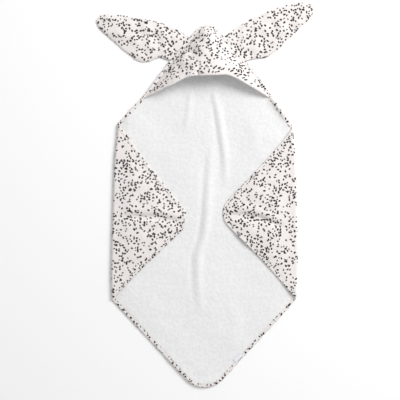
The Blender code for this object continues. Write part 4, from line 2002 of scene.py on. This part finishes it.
@dataclass(eq=False)
class HoodedTowel:
    """The whole object: back, two side flaps, hood and two ears."""

    flat_size: tuple[float, float] = (0.8, 0.8)
    lies: tuple[FlapLie, ...] = (
        FlapLie(
            Side.LEFT,
            pulls=((-330, 7.5), (-250, 7.5), (-186, 4), (-90, 3), (150, 3), (187, 5), (232, 9), (330, 10)),
            creases=(
                Ridge(((-285, -12), (-200, -16), (-150, -17), (-40, -38)), -11.0 * MM, 8.5 * MM),
                Ridge(((-270, 14), (-200, 9), (-150, 7), (-58, -12)), 6.5 * MM, 9.5 * MM),
            ),
            bulge=7.0 * MM,
            lifts=((-110, 60, 40, 2.0), (-150, -120, 45, 2.5)),
            seed=51,
        ),
        FlapLie(
            Side.RIGHT,
            pulls=(
                (-330, 10), (-265, 10), (-232, 8.5), (-190, 5), (-139, 2),
                (150, 1), (200, 3), (240, 6), (330, 6.5),
            ),
            creases=(
                Ridge(((36, -38), (80, -16), (108, -12), (163, -18), (204, -34), (255, -52)),
                      -11.0 * MM, 8.5 * MM),
                Ridge(((58, -2), (80, 8), (106, 12), (158, 6), (192, -9), (240, -26)), 6.5 * MM, 9.5 * MM),
            ),
            bulge=7.0 * MM,
            lifts=((112, -86, 34, 6.5), (240, -222, 34, 6.0), (150, 120, 50, 2.0)),
            seed=61,
        ),
    )
    ears: tuple[EarCut, ...] = (
        EarCut(
            Side.LEFT, (-80, 494), (-328, 584),
            upper=((0, 42), (0.11, 53), (0.28, 58), (0.52, 50.5), (0.63, 44.6), (0.88, 30.6), (1, 25)),
            lower=((0, 39), (0.14, 42), (0.24, 60), (0.345, 75), (0.41, 74),
                   (0.625, 55.6), (0.77, 40), (0.92, 25), (1, 20)),
            crease=Ridge(((-78, 556), (-110, 545), (-170, 506)), 3.2 * MM, 15.0 * MM), seed=71,
        ),
        EarCut(
            Side.RIGHT, (94, 495), (329, 621),
            upper=((0, 48), (0.15, 58), (0.31, 59), (0.57, 54.5), (0.75, 45), (0.92, 30), (1, 24)),
            lower=((0, 46), (0.06, 50), (0.14, 57), (0.254, 66), (0.364, 64),
                   (0.47, 57.9), (0.63, 45.3), (0.79, 33), (1, 18)),
            crease=Ridge(((110, 560), (140, 540), (190, 520)), 2.0 * MM, 16.0 * MM), seed=81,
        ),
    )
    outline: Outline = Outline()
    walk: EdgeWalk = field(init=False)
    folds: dict[Side, Fold] = field(init=False)
    back: Back = field(init=False)
    wardrobe: Wardrobe = field(init=False)
    hood: Hood = field(init=False)
    marks: dict[str, float] = field(init=False)
    tape: EdgeTape = field(init=False)

    def __post_init__(self) -> None:
        """Sets up what the sub-assemblies share: the edge, the folds, the finishes and the tape."""
        self.walk = EdgeWalk(self.outline)
        self.folds = {lie.side: Fold(lie.side, lie.pulls) for lie in self.lies}
        self.back = Back(self.folds, self.outline)
        self.wardrobe = Wardrobe()
        self.hood = Hood(HoodDome(self.outline), self.wardrobe)
        self.marks = self.edge_marks()
        self.tape = EdgeTape(self.walk, self.wardrobe, self.hood_span())

    def edge_marks(self) -> dict[str, float]:
        """Lengths along the edge where it passes the start of each fold's roll.

        Returns:
            The four lengths, by side and end.
        """
        right = self.walk.crossings(lambda p: self.folds[Side.RIGHT].split(p)[1])
        left = self.walk.crossings(lambda p: self.folds[Side.LEFT].split(p)[1])
        return {"right_low": right[0], "right_high": right[-1], "left_high": left[0], "left_low": left[-1]}

    def hood_span(self) -> tuple[float, float]:
        """Lengths along the edge where the hood's rim begins and ends.

        The edge's X is compared with each rim end above HOOD_LOW only, and the rest of the edge
        counts as outside the rim, so the first and the last change of sign are the rim's ends.

        Returns:
            The length at the rim's right end and the length at its left end.
        """
        left_end, right_end = self.hood.ends
        right = self.walk.crossings(lambda p: np.where(p[:, 1] > HOOD_LOW, p[:, 0] - right_end, 1.0))
        left = self.walk.crossings(lambda p: np.where(p[:, 1] > HOOD_LOW, p[:, 0] - left_end, -1.0))
        return right.min(), left.max()

    def lay_back(self) -> bpy.types.Object:
        """The lying part: its two cloths, both of its tapes and the label, all on the towel's body.

        Returns:
            The terry, on which the folded corners and the hood rest.
        """
        marks = self.marks
        towel = TowelBack(self.back, self.walk, self.wardrobe)
        terry, printed = towel.cloths()
        tapes = self.tape.dressed("top", self.back, marks["right_high"], marks["left_high"])
        tapes += self.tape.dressed(
            "bottom", self.back, marks["left_low"], marks["right_low"] + self.walk.total
        )
        label = towel.label()
        for piece in (terry, printed, label, *tapes):
            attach(piece, "towel")
        area = self.area(towel.grid(*towel.print_grid))
        return terry

    def fold_sides(self) -> None:
        """Both folded corners, resting on the terry.
        """
        marks = self.marks
        stretches = {
            Side.LEFT: (marks["left_high"], marks["left_low"]),
            Side.RIGHT: (marks["right_low"], marks["right_high"]),
        }
        for lie in self.lies:
            flap = SideFlap(Flap(self.folds[lie.side], self.back, lie), self.tape, self.wardrobe)
            pieces = flap.build(*stretches[lie.side])
            area = self.area(flap.grid())

    def raise_hood(self) -> None:
        """The hood, gathered over the terry.
        """
        hood = self.hood.build()

    def sew_ears(self) -> None:
        """Both ears, each two sheets over a thin wadding."""
        for cut in self.ears:
            pieces = Ear(cut, self.wardrobe).build()

    @staticmethod
    def area(flat: Array) -> float:
        """Area of a grid of flat points: half the cross product of each cell's diagonals.

        Args:
            flat: The grid, by row and column.

        Returns:
            The area in square metres.
        """
        one = flat[1:, 1:] - flat[:-1, :-1]
        other = flat[1:, :-1] - flat[:-1, 1:]
        return float(np.abs(one[..., 0] * other[..., 1] - one[..., 1] * other[..., 0]).sum() / 2.0)


def main() -> None:
    """Builds each sub-assembly in order, then the studio."""
    logging.basicConfig(level=logging.INFO, format="%(message)s")
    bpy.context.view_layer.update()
    towel = HoodedTowel()
    terry = towel.lay_back()
    towel.fold_sides()
    towel.raise_hood()
    towel.sew_ears()
    Studio().build()


if __name__ == "__main__":
    main()
